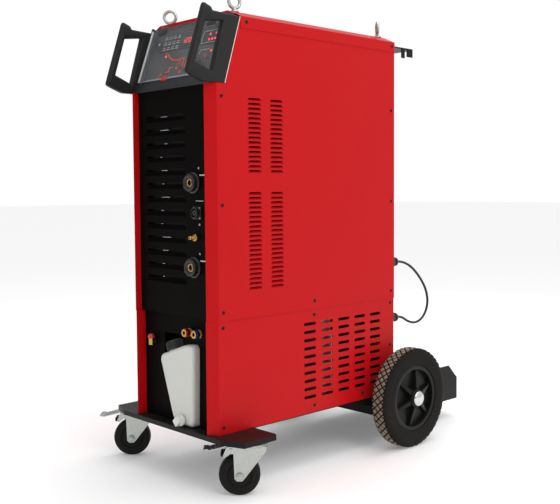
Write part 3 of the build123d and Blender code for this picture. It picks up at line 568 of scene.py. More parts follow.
def flap(length, lean, height, depth, sheet, end, across=8, reach=25):
    """One louvre flap pressed into a panel, as (along, up, out).

    From its flush crease at the bottom the skin sinks to its full depth at the free upper lip, as the
    sine of a quarter turn, and comes back one sheet inside. It gets shorter by the lean at each end for
    every millimetre up, and towards each end the depth falls to nothing as a quarter ellipse.
    """
    t = np.linspace(-1, 1, reach)[:, None]
    spread = np.sign(t) * (1 - (1 - np.abs(t)) ** 1.8)
    p = np.linspace(0, 1, across)[None, :]
    up = height * p + 0 * t
    half_length = length / 2 - lean * up
    along = spread * half_length
    fall = np.sqrt(1 - np.clip((np.abs(along) - (half_length - end)) / end, 0, 1) ** 2)
    out = -0.1 - depth * fall * np.sin(pi / 2 * p) ** 0.9
    points = np.stack((along, up, out), axis=-1)
    return np.concatenate((points, points[:, ::-1] - (0, 0, sheet)), axis=1)


def on_side(points, sign, x, y, z):
    """(along, up, out) on a side panel becomes a surface in (x, y, z)."""
    return skin(np.stack((sign * (x + points[..., 2]), y + points[..., 0], z + points[..., 1]), axis=-1))


def on_front(points, x, y, z):
    """(along, up, out) on a front panel becomes a surface in (x, y, z)."""
    return skin(np.stack((x + points[..., 0], y - points[..., 2], z + points[..., 1]), axis=-1))


side_pitch, front_pitch = 11.6, 33.8
side_flap = flap(46.4, 0.78, 3.9, 5.6, 0.8, 6.0)
for sign, word in ((1, "right"), (-1, "left")):
    skins = []
    for centre_z, rows in ((861.0, 16), (604.0, 21)):
        for y in (136.75, 210.25):
            for row in range(rows):
                z = centre_z + (row - (rows - 1) / 2) * side_pitch - 3.4
                skins.append(on_side(side_flap, sign, side_x, front + y, z))
    make_piece(f"side_louvres_{word}", skins, red_coat)

front_flap = flap(178.6, 0.87, 10.5, 8.0, 1.2, 16.0, across=11, reach=41)
# For each louvre row, the span in x of a bright strip just inside the slot; the strips paint the glints seen
# through the slots.
glint_spans = ((-62, -38), (-66, -30), (-48, -36), (-66, -58), (-62, -36), (-60, -52), (-64, -28), (-66, -56),
               (-66, -58), (-62, -26), (-62, -40), (-64, -54), (-62, -56))
skins, glint_strips = [], []
for row, (x0, x1) in enumerate(glint_spans):
    z = 707.0 + (6 - row) * front_pitch - 8.1
    skins.append(on_front(front_flap, -34.0, panel_y, z))
    glint_strips.append(block((x0, panel_y + 9.0, z + 12.4), (x1, panel_y + 14.0, z + 14.0), 0.5))
make_piece("front_louvres", skins, black_coat)
make_piece("louvre_painted_glints", glint_strips, glint_strip_paint)
# Painted shade: a near-black sheet just behind the front louvres stands in for the shade inside the machine.
make_piece("louvre_painted_shade_sheet", [block((-152, panel_y + 16, 480), (50, panel_y + 18, 934), 0.8)],
           painted_shade_black)


def button_screw(radius, height):
    """A domed screw head as a turned shape, with a hexagon pressed in.

    The dome is a parabola of the radius. The recess's rings follow a hexagon: the radius over the
    cosine of the angle from the nearest flat's middle.
    """
    angle = np.linspace(0, 2 * pi, 24, endpoint=False)[None, :]
    hexagon = 1 / np.cos((angle + pi / 6) % (pi / 3) - pi / 6)
    dome = np.linspace(1.0, 0.58, 5)[:, None] * radius
    rim = height * (1 - 0.75 * (dome / radius) ** 2)
    rings = ((0 * angle + radius, 0 * angle - 0.4),
             *((d + 0 * angle, h + 0 * angle) for d, h in zip(dome, rim)),
             (0.42 * radius * hexagon, rim[-1] + 0 * angle), (0.40 * radius * hexagon, 0 * angle + 0.15),
             (0 * angle, 0 * angle + 0.05), )
    radii = np.concatenate([r for r, _ in rings])
    heights = np.concatenate([h for _, h in rings])
    return np.stack((radii * np.cos(angle), radii * np.sin(angle), heights), axis=-1)


screw = button_screw(4.7, 2.6)
upper_screws = ((32, 950), (32, 693), (32, 437), (658, 951), (658, 694), (658, 438), (344, 438))
lower_screws = ((32, 400), (32, 160), (657, 403), (657, 282), (344, 401), (344, 160), (536, 161))
roof_screws = ((112, 1131), (660, 1131))
skins = []
for x, places in ((side_x, upper_screws), (lower_side_x, lower_screws), (roof_side_x, roof_screws)):
    for y, z in places:
        for sign in (1, -1):
            skins.append(skin(placed(screw, (sign * x, front + y, z), (sign, 0, 0))))
make_piece("panel_screw_heads", skins, screw_black, ["panel_screws"])

small = button_screw(3.0, 1.8)
small_places = ((100.6, 782), (102, 575), (102, 646), (-150, 958), (-150, 440), (150, 958), (150, 440))
make_piece("front_screw_heads", [skin(placed(small, (x, panel_y, z), (0, -1, 0))) for x, z in small_places],
           zinc)

# ---------------------------------------------------------------- handles


handle_pairs = np.array((
    ((-68, 998), (-41, 1025)), ((-15, 1163), (-11, 1120)), ((7, 1154), (-5, 1120.6)), ((9, 1146), (4, 1121.8)),
    ((92.7, 1142), (41, 1127)), ((42.7, 980.3), (6, 1004)), ((-20, 980.3), (-22, 1016.5)),
    ((-52, 991), (-36, 1022.8)),
), float)
handle_power = np.array((2.8, 2.8, 3.6, 4.2, 8.0, 8.0, 5.0, 3.6))


def handle_shape():
    """A closed frame: at each stop an outer and an inner point, joined by a squared ellipse.

    Between stops both points and the squareness go in straight runs with rounded corners. The section's
    width is the span from one point to the other and its thickness is the moulding's.
    """
    stops = np.concatenate((handle_pairs.reshape(-1, 4), 6 * handle_power[:, None]), axis=1)
    stops = softened(stops, 6.0, 5, closed=True)
    line = np.concatenate([stops + (np.roll(stops, -1, 0) - stops) * f for f in (0, 0.34, 0.67)], axis=1)
    line = line.reshape(-1, 5)
    outer, inner, power = line[:, :2], line[:, 2:4], line[:, 4:] / 6
    angle = np.linspace(0, 2 * pi, 28, endpoint=False)[None, :]
    across = np.sign(np.cos(angle)) * np.abs(np.cos(angle)) ** (2 / power)
    thick = np.sign(np.sin(angle)) * np.abs(np.sin(angle)) ** (2 / power)
    middle, half_span = (outer + inner) / 2, (outer - inner) / 2
    flat = middle[:, None] + half_span[:, None] * across[..., None]
    return np.stack((165.0 + 9.0 * thick, front + flat[..., 0], flat[..., 1]), axis=-1)


handle = handle_shape()
for sign, word in ((1, "right"), (-1, "left")):
    make_piece(f"grip_{word}", [skin(handle * (sign, 1, 1), wrap_rows=True)], handle_mould,
               [f"handle_{word}"], angle=60)

# ---------------------------------------------------------------- console

console_tilt = radians(19.57)
up_slope = np.array((0.0, sin(console_tilt), cos(console_tilt)))
out_slope = np.array((0.0, -cos(console_tilt), sin(console_tilt)))
console_origin = np.array((0.0, front + 20.5, 1009.0))


def on_console(points, ring=False):
    """(across, up the slope, out of it) becomes a surface in (x, y, z)."""
    points = points[..., :1] * (1, 0, 0) + points[..., 1:2] * up_slope + points[..., 2:] * out_slope
    return skin(console_origin + points, wrap_rows=ring)


def panel_box(x0, x1, up0, up1, out0=-16.3, out1=-15.4, radius=0.4):
    """A rounded plate lying on the control panel, or at another height off the console's plane."""
    return on_console(soft_box((x0, up0, out0), (x1, up1, out1), radius))


def panel_line(points, radius=0.7):
    """A raised printed line on the control panel, with softened corners."""
    route = softened([(x, up, -15.8) for x, up in points], 3.0, 3)
    return on_console(tube(route, radius, 8, 0.6))


def panel_disc(x, up, radius, out=-15.2):
    """A low round lens on the control panel."""
    profile = ((-16.3, 0), (-16.3, radius), (out, radius), (out + 0.35, radius * 0.6), (out + 0.45, 0))
    return on_console(turned(profile, 24) + (x, up, 0))


make_piece("panel_dark_field", [panel_box(-149, 149, 84, 141, -16.5, -15.7),
                                panel_box(-149, 149, -3.5, 4, -16.5, -15.8)], overlay_black)
make_piece("display_window", [panel_box(-27, 19, 94, 122, -16.4, -14.6, 1.2)], overlay_black)


def segment_digits(x, up, width, height, lit):
    """Seven-segment figures: uprights are thin tall boxes and bars thin wide ones, all in one plane."""
    skins = []
    bar, gap = 1.3, 0.2
    spots = {
        "top": (0, width, height - bar, height),
        "middle": (0, width, height / 2 - bar / 2, height / 2 + bar / 2),
        "bottom": (0, width, 0, bar), "left_high": (0, bar, height / 2, height),
        "left_low": (0, bar, 0, height / 2), "right_high": (width - bar, width, height / 2, height),
        "right_low": (width - bar, width, 0, height / 2),
    }
    for spot in lit:
        x0, x1, up0, up1 = spots[spot]
        skins.append(panel_box(x + x0 + gap, x + x1 - gap, up + up0 + gap, up + up1 - gap, -14.8, -14.2, 0.25))
    return skins


display_red = glowing("display_red", (1.0, 0.03, 0.02), 2.2)
figures = ((-22, ("right_high", "right_low")), (-9, ("top", "right_high", "middle", "left_low", "bottom")),
           (4, ("top", "bottom", "left_high", "left_low", "right_high", "right_low")))
digits = [segment for x, lit in figures for segment in segment_digits(x, 101, 8, 14, lit)]
make_piece("display_digits", digits, display_red)

lamps = [panel_disc(x, up, 3.0) for x, up in (
    (86, 98), (98, 98), (110, 98), (86, 112), (110, 112), (-79, 72), (28, 26), (106, 66), (122, 98))]
make_piece("status_lamps", lamps, display_red)

printed = [panel_disc(-125, 112, 3.2)]
for column in range(4):
    for row in range(3):
        x, up = -104 + 18 * column, 92 + 15 * row
        printed.append(panel_line(((x, up), (x + 12, up), (x + 12, up + 1.2)), 0.9))
        tick = ((x + 1, up + 4), (x + 4 + column, up + 8 - row), (x + 11, up + 4 + row))
        printed.append(panel_line(tick, 0.8))
printed += [panel_line(((58, 90), (136, 90), (136, 122), (58, 122), (58, 90), (64, 90)), 0.6),
            panel_line(((-140, 12), (40, 12)), 0.6), panel_line(((62, 60), (62, 72), (100, 72)), 0.6)]
make_piece("panel_printing", printed, printed_white)

slope_marks = [
    panel_line(((-84, 84), (-72, 78), (-60, 66), (-42, 58), (-24, 56), (-8, 58)), 1.8),
    panel_line(((-20, 46), (-12, 46), (-12, 60), (2, 60), (2, 36), (14, 36), (14, 50), (26, 50), (26, 30),
                (34, 30)), 1.6),
    panel_line(((-66, 26), (-50, 26), (-50, 38), (-36, 38)), 1.6),
]
slope_marks += [panel_disc(x, up, 4.2) for x, up in ((-18, 34), (22, 62), (-84, 16), (-2, 22))]
cycle_red = glowing("cycle_red", (0.9, 0.03, 0.02), 0.35)
make_piece("cycle_marks", slope_marks, cycle_red)

knob_profile = softened(((-15.6, 0), (-15.6, 14), (-14.6, 14.0), (-3.5, 13.2), (-2.2, 11.5), (-2.8, 9),
                         (-2.8, 0)), 0.8)
pointer = panel_box(61.2, 62.8, 44, 50.5, -3.2, -2.0)
make_piece("setting_knob", [on_console(turned(knob_profile, 96, 24, 0.8) + (62, 38, 0))], knob_satin,
           ["encoder_knob"], "knob")
make_piece("knob_pointer", [pointer], printed_white, body="knob")
button_cap = softened(((-17.1, 0), (-17.1, 5.5), (-13.4, 5.5), (-12.6, 3.5), (-12.5, 0)), 0.9)
bezel = softened(((-16.2, 6.0), (-14.9, 6.3), (-14.9, 8.2), (-16.2, 8.6)), 0.5)
for word, x, up in (("left", -78, 20), ("right", 92, 52)):
    make_piece(f"push_button_{word}", [on_console(turned(button_cap, 32) + (x, up, 0))], red_gloss,
               [f"select_button_{word}"], f"button_{word}")
    make_piece(f"button_bezel_{word}", [on_console(turned(bezel, 32) + (x, up, 0), ring=True)],
               socket_mould)

# Painted highlight: pale strips along the clear cover's edges stand in for the light those edges catch.
cover_edges = [panel_box(-151.2, -150.4, 0, 146, -5.4, 0.2, 0.35),
               panel_box(-151, 151, -0.5, 0.4, -2.2, 0.2, 0.3),
               panel_box(150.4, 151.2, 0, 146, -5.4, 0.2, 0.35)]
cover_edge_highlight_paint = finish("cover_edge_painted_highlight", (0.72, 0.75, 0.76), 0.2, patch=(60, 0.05), grain=(600, 0.05),
                    dust=0.0, coat=0.5, edge=0)
make_piece("cover_edges_painted_highlight", cover_edges, cover_edge_highlight_paint, body="cover")
make_piece("cover_pull_tab", [panel_box(-49, -27, -6.6, 6, -3.6, 0.6, 0.8)], red_gloss,
           body="cover")
hinge_leaves = [panel_box(x - 17, x + 17, 128, 147, -0.4, 1.6, 0.8) for x in (-100, 100)]
make_piece("cover_hinge_leaves", hinge_leaves, console_mould, body="cover")

# ---------------------------------------------------------------- front fittings


socket_places = ((80, panel_y, 747.0), (80, panel_y, 541.0))
forward = (0, -1, 0)
socket_profile = softened((
    (-0.2, 12), (-0.2, 26), (3.2, 26), (4.4, 22.2), (15.2, 21.4), (17.2, 19.0), (17.2, 15.5), (14.2, 11.2),
    (2, 11.1),
), 0.9)
sockets = [lathe(socket_profile, 72, place, ring=True) for place in socket_places]
lugs = [skin(placed(soft_box((x - 2.2, y - 2.2, 4), (x + 2.2, y + 2.2, 16.6), 1.0), place, forward))
        for place in socket_places for x, y in ((0, 20.8), (18, -10.4), (-18, -10.4))]
make_piece("socket_collars", sockets + lugs, socket_mould, ["socket_housings"])

insert_profile = softened((
    (-19, 0), (-19, 10.9), (12.4, 10.9), (13.4, 9.6), (13.4, 7.6), (12.2, 6.6), (-13, 6.6), (-14.4, 0),
), 0.6)
make_piece("socket_brasses", [lathe(insert_profile, 48, place) for place in socket_places], brass,
           ["socket_inserts"])

marks = [block((x0, panel_y - 0.5, z0), (x1, panel_y + 0.3, z1), 0.3) for x0, x1, z0, z1 in (
    (104, 124, 763.6, 766.4), (104, 124, 556.6, 559.4), (88, 118, 702.4, 703.8))]
make_piece("front_printed_bars", marks, printed_white)

connector_place = (95, panel_y, 674)
shell = softened(((0, 9), (3.2, 13.6), (4, 13.2), (11.6, 13.0), (12.6, 12.0), (12.6, 10.8), (4.4, 10.6),
                  (4.4, 9)), 0.5)
flange = soft_box((-15.4, -15.4, -0.2), (15.4, 15.4, 3.0), 1.2)
connector_skins = [lathe(shell, 48, connector_place, ring=True), skin(placed(flange, connector_place, forward))]
screws_at = [skin(placed(button_screw(2.0, 1.4), (95 + x, panel_y - 2.9, 674 + z), forward))
             for x in (-12, 12) for z in (-12, 12)]
pin = turned(((4, 0), (4, 0.9), (10.8, 0.9), (11.4, 0)), 12)
pins = [skin(placed(pin + (4.6 * cos(a), 4.6 * sin(a), 0), connector_place, forward))
        for a in np.linspace(0, 2 * pi, 7, endpoint=False)]
make_piece("control_socket", connector_skins, socket_mould, ["control_connector"])
make_piece("control_socket_pins", pins + screws_at, zinc)

hex_r = 9.6
nozzle_profiles = (
    softened(((-0.2, 0), (-0.2, hex_r), (7.2, hex_r), (8.2, hex_r - 1), (8.2, 0)), 0.5),
    softened(((7.8, 0), (7.8, 5.6), (10, 5.6), (11, 4.4), (13, 5.4), (15, 4.4), (17, 5.4), (19, 4.4),
              (21.5, 5.2), (24, 3.8), (24, 2.6), (12, 2.4), (12, 0)), 0.4),
)
make_piece("gas_tail", [lathe(p, n, (91, panel_y, 614)) for p, n in zip(nozzle_profiles, (6, 40))], brass,
           ["gas_nozzle"])

sleeve = softened(((11.5, 7.56), (11.5, 10.6), (12.3, 11.3), (19.6, 11.3), (20.5, 10.6), (20.5, 7.56)), 0.4)
for word, x, material in (("red", 52, red_metal), ("blue", 90, blue_metal)):
    ring = lathe(sleeve, 72, (x, lower_panel_y, 378), flutes=24, bite=0.7, ring=True)
    make_piece(f"coupling_ring_{word}", [ring], material, [f"coupling_sleeve_{word}"],
               f"sleeve_{word}")

dome = softened(((346.4, 2.6), (346.4, 8.2), (348, 9.2), (353.5, 9.0), (357.2, 6.4), (358.6, 3), (358.8, 0),
                 (354.5, 0), (354.5, 2.6)), 0.9)
make_piece("bleed_wheel", [skin(turned(dome, 60, 12, 0.7) + (-103, front + 17, 0), wrap_rows=True)],
           red_gloss, ["bleed_knob"], "bleed_valve")

# ---------------------------------------------------------------- bottle


tank_outline = np.array(((8, 142.4), (78, 142.4), (82, 338), (74, 348), (46, 347), (-52, 312), (-57, 302),
                         (-4, 156)), float)
tank_front, tank_rear = front + 8.5, front + 190.0
neck_slope = np.arctan2(35.0, 98.0)
neck_axis = (-sin(neck_slope), 0, cos(neck_slope))
neck_place = np.array((-16.0, front + 39, 312 + 36 * 35 / 98))


def bottle_body():
    """The bottle's outline with rounded corners, carried from front to back.

    Its size is drawn in at both faces as a quarter circle, and the front face swells a little towards
    its middle as one minus the square of the distance from it.
    """
    loop = softened(tank_outline, 16, 6, closed=True)
    middle = loop.mean(axis=0)
    round_r = 11.0
    turn = np.linspace(0, pi / 2, 7)
    face = np.linspace(0, 0.9, 6)
    inset = round_r * (1 - np.sin(turn))
    depth_front = tank_front + round_r * (1 - np.cos(turn))
    reach = np.linalg.norm(loop - middle, axis=1)[:, None]
    rings = [(1 - round_r / reach) * f for f in face] + [1 - i / reach for i in inset]
    depths = [tank_front - 1.2 * (1 - f**2) + 0.5 for f in face] + list(depth_front)
    rings += [1 - i / reach for i in inset[::-1]] + [(1 - round_r / reach) * f for f in face[::-1]]
    depths += [tank_front + tank_rear - d for d in depth_front[::-1]] + [tank_rear] * len(face)
    flat = np.stack([middle + (loop - middle) * r for r in rings])
    y = np.array(depths)[:, None] + 0 * flat[..., 0]
    return np.stack((flat[..., 0], y, flat[..., 1]), axis=-1)


neck_profile = softened(((-3, 0), (-3, 24), (1.2, 23.5), (1.4, 21.8), (13.5, 21.8), (14, 20), (14, 17), (2, 17),
                         (2, 0)), 0.6)
spout_profile = softened(((-6, 0), (-6, 9), (0, 8.6), (15.5, 8.0), (16, 6.5), (16, 0)), 0.6)
drain_place = (40, tank_front, 158)
make_piece("coolant_bottle", [skin(bottle_body()), lathe(neck_profile, 48, neck_place, neck_axis),
                              lathe(spout_profile, 32, drain_place)],
           bottle_skin, ["coolant_tank"], angle=50)

cap_profile = softened(((15.8, 0), (15.8, 22.3), (1.6, 22.3), (1.6, 27.0), (3, 28.5), (20.5, 28.3),
                        (24.0, 26.6), (25.4, 22), (24.6, 18), (24.6, 0)), 0.9)
make_piece("filler_screw_cap", [lathe(cap_profile, 160, neck_place, neck_axis, 40, 1.3)], knob_satin,
           ["filler_cap"], "filler_cap")

drain_round = softened(((16.4, 0), (16.4, 8.3), (3.1, 8.3), (3.1, 12.6), (4, 13.6), (11, 13.6), (12, 12.6),
                        (12.6, 0)), 0.6)
square = soft_box((-9, -9, 12), (9, 9, 25), 2.0) @ spun_by(pi / 4)
make_piece("drain_screw_cap", [lathe(drain_round, 96, drain_place, flutes=30, bite=0.7),
                               skin(placed(square, drain_place, forward))], white_mould,
           ["drain_cap"], "drain_cap")

# ---------------------------------------------------------------- lifting eyes


def ring_of(ring_r, wire_r, around=48, across=16):
    """A round wire ring: a circle of the wire's radius carried round a circle of the ring's."""
    u = np.linspace(0, 2 * pi, around, endpoint=False)[:, None]
    v = np.linspace(0, 2 * pi, across, endpoint=False)[None, :]
    reach = ring_r + wire_r * np.cos(v)
    return np.stack((reach * np.cos(u), reach * np.sin(u), wire_r * np.sin(v) + 0 * u), axis=-1)


roof_z = 1160
eye_places = ((-130, front + 112, 45), (130, front + 112, 80), (-130, front + 648, 60), (130, front + 648, -42))
eye_foot = softened(((-0.3, 0), (-0.3, 11.4), (2.2, 11.4), (3.4, 9.6), (5.5, 6.6), (9.5, 5.6), (10.5, 0)), 1.0)
skins = []
for x, y, turn in eye_places:
    facing_way = (sin(radians(turn)), -cos(radians(turn)), 0)
    skins.append(skin(placed(ring_of(15.5, 4.2), (x, y, roof_z + 25.5), facing_way), wrap_rows=True))
    skins.append(skin(turned(eye_foot, 40) + (x, y, roof_z)))
make_piece("lifting_eyes", skins, zinc, ["eye_bolts"])

# ---------------------------------------------------------------- rear wheels

wheel_x = 237.0


def tyre_shape():
    """A tyre's section turned about the axle, with diamond blocks standing on the tread.

    A block is where two slanting waves, of the angle and the place across, are both clear of zero. The
    blocks rise 3 mm from the groove floor and fade out at the shoulders.
    """
    half = ((0, 92), (0, 92.1), (-23, 92), (-25, 96), (-24.2, 101), (-25.4, 104), (-24.6, 108), (-25.2, 116),
            (-24.8, 126), (-23.5, 131), (-20.5, 135.2), (-16, 136.6), (-10, 137), (0, 137))
    left = softened(half, 1.6, 3)
    section = np.concatenate((left, left[::-1] * (-1, 1)))
    stops = []
    for here, there in zip(section[:-1], section[1:]):
        tread_run = min(here[1], there[1]) > 134 and abs(there[0] - here[0]) > 1.5
        stops += [here + (there - here) * f for f in ((0, 0.2, 0.4, 0.6, 0.8) if tread_run else (0,))]
    section = np.array(stops)
    x, radius = section[:, :1], section[:, 1:]
    angle = np.linspace(0, 2 * pi, 528, endpoint=False)[None, :]
    lead_wave = np.abs(np.sin(22 * angle + x * 0.145))
    trail_wave = np.abs(np.sin(22 * angle - x * 0.145))
    block = np.clip((np.minimum(lead_wave, trail_wave) - 0.22) * 6, 0, 1)
    shoulder = np.clip((radius - 132.5) / 3.0, 0, 1) * np.clip((24.0 - np.abs(x)) / 2.0, 0, 1)
    radius = radius + 3.0 * block * shoulder
    return x, radius, angle


def about_axle(x, radius, angle, sign):
    """(distance along the axle, radius, angle) becomes a surface at the right or left wheel."""
    points = np.stack((sign * (wheel_x + x + 0 * angle), axle_y / MM + radius * np.cos(angle),
                       axle_z / MM + radius * np.sin(angle)), axis=-1)
    return skin(points, wrap_rows=True)


def rim_shape():
    """The moulded hub: a closed section turned about the axle, with six blades standing on its web.

    A blade's height over the web falls with the radius, and its flank is a steep ramp of the distance
    from the blade's middle line.
    """
    web = [(10.0 - 2.5 * (r - 27) / 52, r) for r in np.linspace(28, 78, 18)]
    section = np.array((
        (31, 10.06), (31, 22), (29.5, 25.5), (24, 26.5), *web, (15, 79.5), (20.8, 81), (21.4, 84), (21.4, 91),
        (20, 92), (-20, 92), (-21, 91), (-21, 82), (-20, 80), (4, 80), (4, 27), (2, 26), (-30, 26), (-31, 24),
        (-31, 10.06)))
    x, radius = section[:, :1], section[:, 1:]
    angle = np.linspace(0, 2 * pi, 300, endpoint=False)[None, :]
    sixth = (angle - radians(80) + pi / 6) % (pi / 3) - pi / 6
    off_line = np.abs(sixth) * radius
    width = 7.5 - 3.5 * (radius - 27) / 52
    on_web = (x > 5) & (radius > 27) & (radius < 79)
    blade = np.clip((width - off_line) / 1.6 + 0.5, 0, 1) * on_web
    crest = np.clip(27.0 - 12.0 * (radius - 27) / 52, 0, 40)
    x = x + (crest - x) * blade
    return x, radius, angle


tyre, rim = tyre_shape(), rim_shape()
cap_dome = softened(((31.4, 10.05), (31.4, 20.8), (33, 21.2), (35.5, 20.8), (38, 18.4), (40.2, 12), (41.6, 6),
                     (42, 0), (35.6, 0), (35.6, 10.05)), 1.2)
keyhole = soft_box((7.5, -2.6, 35.6), (14.5, 2.6, 39.4), 1.2)
caps, keyhole_shades = [], []
for sign, word in ((1, "right"), (-1, "left")):
    make_piece(f"tread_{word}", [about_axle(*tyre, sign)], tyre_rubber, [f"tyre_{word}"],
               f"wheel_{word}", angle=30)
    make_piece(f"hub_{word}", [about_axle(*rim, sign)], wheel_mould, [f"rim_{word}"],
               f"wheel_{word}", angle=35)
    place = (sign * wheel_x, axle_y / MM, axle_z / MM)
    caps.append(lathe(cap_dome, 48, place, (sign, 0, 0), ring=True))
    keyhole_shades += [skin(placed(keyhole @ spun_by(turn), place, (sign, 0, 0))) for turn in (0.6, 2.7, 4.8)]
make_piece("hub_caps", caps, chrome, ["axle_caps"])
# Painted shade: dark boxes set in the chrome caps stand in for the shade inside their keyhole slots.
make_piece("hub_cap_slot_painted_shade", keyhole_shades, painted_shade_black)

# ---------------------------------------------------------------- casters

caster_heading = radians(228.0)
trail_way = np.array((cos(caster_heading), sin(caster_heading), 0.0))
axle_way = np.array((-sin(caster_heading), cos(caster_heading), 0.0))


def beside_swivel(points, sign, ring=False):
    """(trailing, along the axle, up) becomes a surface at the right or left caster."""
    origin = np.array((sign * 226.0, front + 82.0, 0.0))
    points = points[..., :1] * trail_way + points[..., 1:2] * axle_way + points[..., 2:] * (0, 0, 1)
    return skin(origin + points, wrap_rows=ring)


def across_axle(points, trail, up):
    """A turned shape laid along the caster's axle."""
    return np.stack((trail + points[..., 0], points[..., 2], up + points[..., 1]), axis=-1)


wheel_profile = softened((
    (-18, 5.1), (-18, 11), (-14.5, 12.5), (-13.5, 27), (-15.5, 29), (-17.6, 30.5), (-17.6, 36), (-16.5, 44),
    (-13.5, 48.6), (-7, 50), (7, 50), (13.5, 48.6), (16.5, 44), (17.6, 36), (17.6, 30.5), (15.5, 29),
    (13.5, 27), (14.5, 12.5), (18, 11), (18, 5.1),
), 1.6)
lower_race = softened(((118.4, 20), (118.4, 27.5), (120.5, 30.2), (124.5, 30.6), (126.2, 27.2),
                       (126.2, 20)), 1.2)
upper_race = softened(((127.0, 27.2), (127.0, 28.0), (129.5, 31.4), (133.2, 31.8), (134.9, 29.5),
                       (134.9, 27.2)), 1.0)
nut_profile = softened(((0, 0), (0, 9.6), (4.6, 9.6), (5.8, 8.4), (5.8, 5.2), (8.2, 5.0), (8.8, 0)), 0.4)
pivot_profile = ((0, 0), (0, 4.4), (1.6, 4.2), (2.4, 0))
for sign, word in ((1, "right"), (-1, "left")):
    roller = across_axle(turned(wheel_profile, 72), 38, 50)
    make_piece(f"roller_{word}", [beside_swivel(roller, sign, ring=True)], caster_rubber,
               [f"caster_wheel_{word}"], f"caster_{word}")
    fixings = [beside_swivel(turned(lower_race, 56), sign, ring=True)]
    for profile, sides, stand, trail, up in (
            (nut_profile, 6, 24.2, 38, 50), (pivot_profile, 20, 23.9, 58, 114)):
        for way in (1, -1):
            stud = turned(profile, sides) * (1, 1, way) + (0, 0, way * stand)
            fixings.append(beside_swivel(across_axle(stud, trail, up), sign))
    make_piece(f"swivel_race_{word}", fixings, zinc, body=f"fork_{word}")
    make_piece(f"top_race_{word}", [beside_swivel(turned(upper_race, 56), sign, ring=True)], zinc)
    toe = [beside_swivel(soft_box((x, -17, z), (x + 2.4, 17, z + 2.2), 1.0), sign)
           for x, z in ((78, 120.4), (86, 118.5), (94, 116.6), (102, 114.7))]
    toe.append(beside_swivel(soft_box((111, -20, 110.6), (124, 20, 115.2), 2.0), sign))
    make_piece(f"pedal_toe_{word}", toe, zinc, body=f"pedal_{word}")
    shoe = beside_swivel(soft_box((71, -17, 95.5), (83, 17, 106.0), 2.5), sign)
    make_piece(f"brake_shoe_{word}", [shoe], caster_rubber, body=f"pedal_{word}")

# ---------------------------------------------------------------- trim

# Painted highlight: a pale line along each side panel's slanted top edge stands in for the light caught by that
# edge.
slant_edge_highlight_paint = finish("slant_edge_painted_highlight", (0.78, 0.74, 0.72), 0.35, patch=(90, 0.1), grain=(900, 0.1), dust=0.0,
                  edge=0)
slanted = []
for sign in (1, -1):
    line = np.linspace((sign * side_x, front + 43.4, 981), (sign * side_x, front + 93.2, 1141.5), 12)
    slanted.append(skin(tube(line, 0.9, 8, 1.0, up=(1, 0, 0))))
make_piece("panel_slant_edge_highlights", slanted, slant_edge_highlight_paint)

clamp = softened(((28, 3.8), (28, 12.4), (29.5, 13.4), (35.5, 12.6), (37.5, 9.0), (40.5, 6.2),
                  (40.5, 3.8)), 0.8)
band = softened(((41, 3.7), (41, 5.6), (45, 5.6), (45, 3.7)), 0.4)
clamps, bands, ears = [], [], []
for z in (upper_gland_z, lower_gland_z):
    clamps.append(lathe(clamp, 64, (gland_x, rear, z), (0, 1, 0), 16, 0.8, ring=True))
    bands.append(lathe(band, 32, (gland_x, rear, z), (0, 1, 0), ring=True))
    ears.append(block((gland_x - 2, rear + 41.2, z - 11.5), (gland_x + 2, rear + 44.8, z - 4.6), 0.8))
make_piece("gland_caps", clamps, socket_mould)
make_piece("lead_bands", bands + ears, zinc)

# ---------------------------------------------------------------- behind the slots

baffles = [block(low, high, 0.8) for low, high in (
    ((-135, front + 470, 170), (135, front + 472, 411)), ((-6, front + 474, 170), (-4, rear - 8, 411)),
    ((-150, rear - 8, 230), (150, rear - 6, 411)), ((-10, front + 240, 146), (-8, front + 378, 405)))]
make_piece("cooler_baffles", baffles, chassis_coat)
pipes = []
for x, y in ((132, front + 440), (118, front + 462)):
    line = softened(((x, y, 176), (x, y, 330), (x, y - 18, 350), (x, y - 18, 392)), 14, 6)
    pipes.append(skin(tube(line, 6.5, 16, up=(1, 0, 0))))
clips = [block((112, front + 430, z), (140, front + 468, z + 6), 1.5) for z in (214, 286)]
make_piece("coolant_pipes", pipes + clips, zinc)
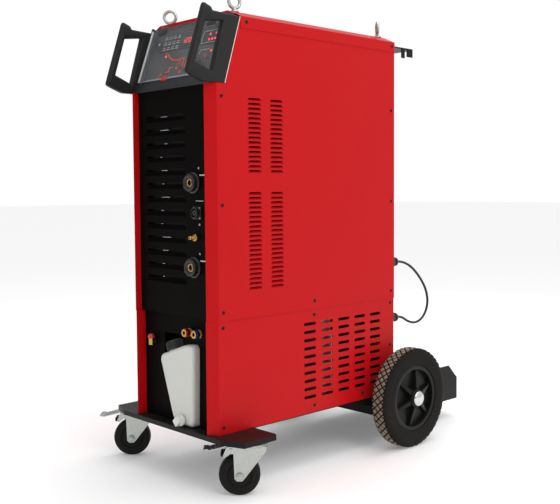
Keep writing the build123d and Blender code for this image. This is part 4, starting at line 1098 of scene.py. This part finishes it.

# ---------------------------------------------------------------- stage and light


def make_stage():
    """A wide pale floor, a bright surround and four soft lamps."""
    reach = 40.0
    mesh = bpy.data.meshes.new("floor")
    mesh.from_pydata([(-reach, -reach, 0), (reach, -reach, 0), (reach, reach, 0), (-reach, reach, 0)], [],
                     [(0, 1, 2, 3)])
    floor = bpy.data.objects.new("floor", mesh)
    bpy.context.scene.collection.objects.link(floor)
    paint = bpy.data.materials.new("pale_floor")
    paint.use_nodes = True
    shader = paint.node_tree.nodes["Principled BSDF"]
    shader.inputs["Base Color"].default_value = (0.88, 0.88, 0.88, 1)
    shader.inputs["Emission Color"].default_value = (1, 1, 1, 1)
    shader.inputs["Emission Strength"].default_value = 0.16
    shader.inputs["Roughness"].default_value = 0.9
    shader.inputs["Specular IOR Level"].default_value = 0.1
    mesh.materials.append(paint)
    world = bpy.data.worlds.new("studio")
    world.use_nodes = True
    tree = world.node_tree
    background = tree.nodes["Background"]
    background.inputs["Color"].default_value = (1, 1, 1, 1)
    sees = tree.nodes.new("ShaderNodeLightPath").outputs["Is Camera Ray"]
    way = tree.nodes.new("ShaderNodeTexCoord").outputs["Generated"]
    sky = vector_node(tree, "DOT_PRODUCT", way, (0.26, 0.22, 0.62))
    level = math_node(tree, "MAXIMUM", math_node(tree, "ADD", sky.outputs["Value"], 0.46), 0.12)
    glow = math_node(tree, "MULTIPLY_ADD", sees, math_node(tree, "SUBTRACT", 1.0, level), level)
    tree.links.new(glow, background.inputs["Strength"])
    bpy.context.scene.world = world
    for name, place, aim, size, power in (
            ("key", (2.6, -0.6, 2.6), (0, 0, 0.6), 1.6, 20), ("top", (0.2, 0.6, 3.4), (0, 0, 0.4), 2.4, 26),
            ("fill", (-1.4, -3.0, 1.8), (0, 0, 0.5), 1.4, 5), ("back", (-1.0, 3.2, 1.8), (0, 0, 0.5), 1.8, 12)):
        lamp = bpy.data.lights.new(name, "AREA")
        lamp.shape = "DISK"
        lamp.size = size
        lamp.energy = power
        holder = bpy.data.objects.new(name, lamp)
        holder.location = place
        holder.rotation_euler = (Vector(aim) - Vector(place)).to_track_quat("-Z", "Y").to_euler()
        bpy.context.scene.collection.objects.link(holder)
    bpy.context.scene.view_settings.view_transform = "Standard"


make_stage()
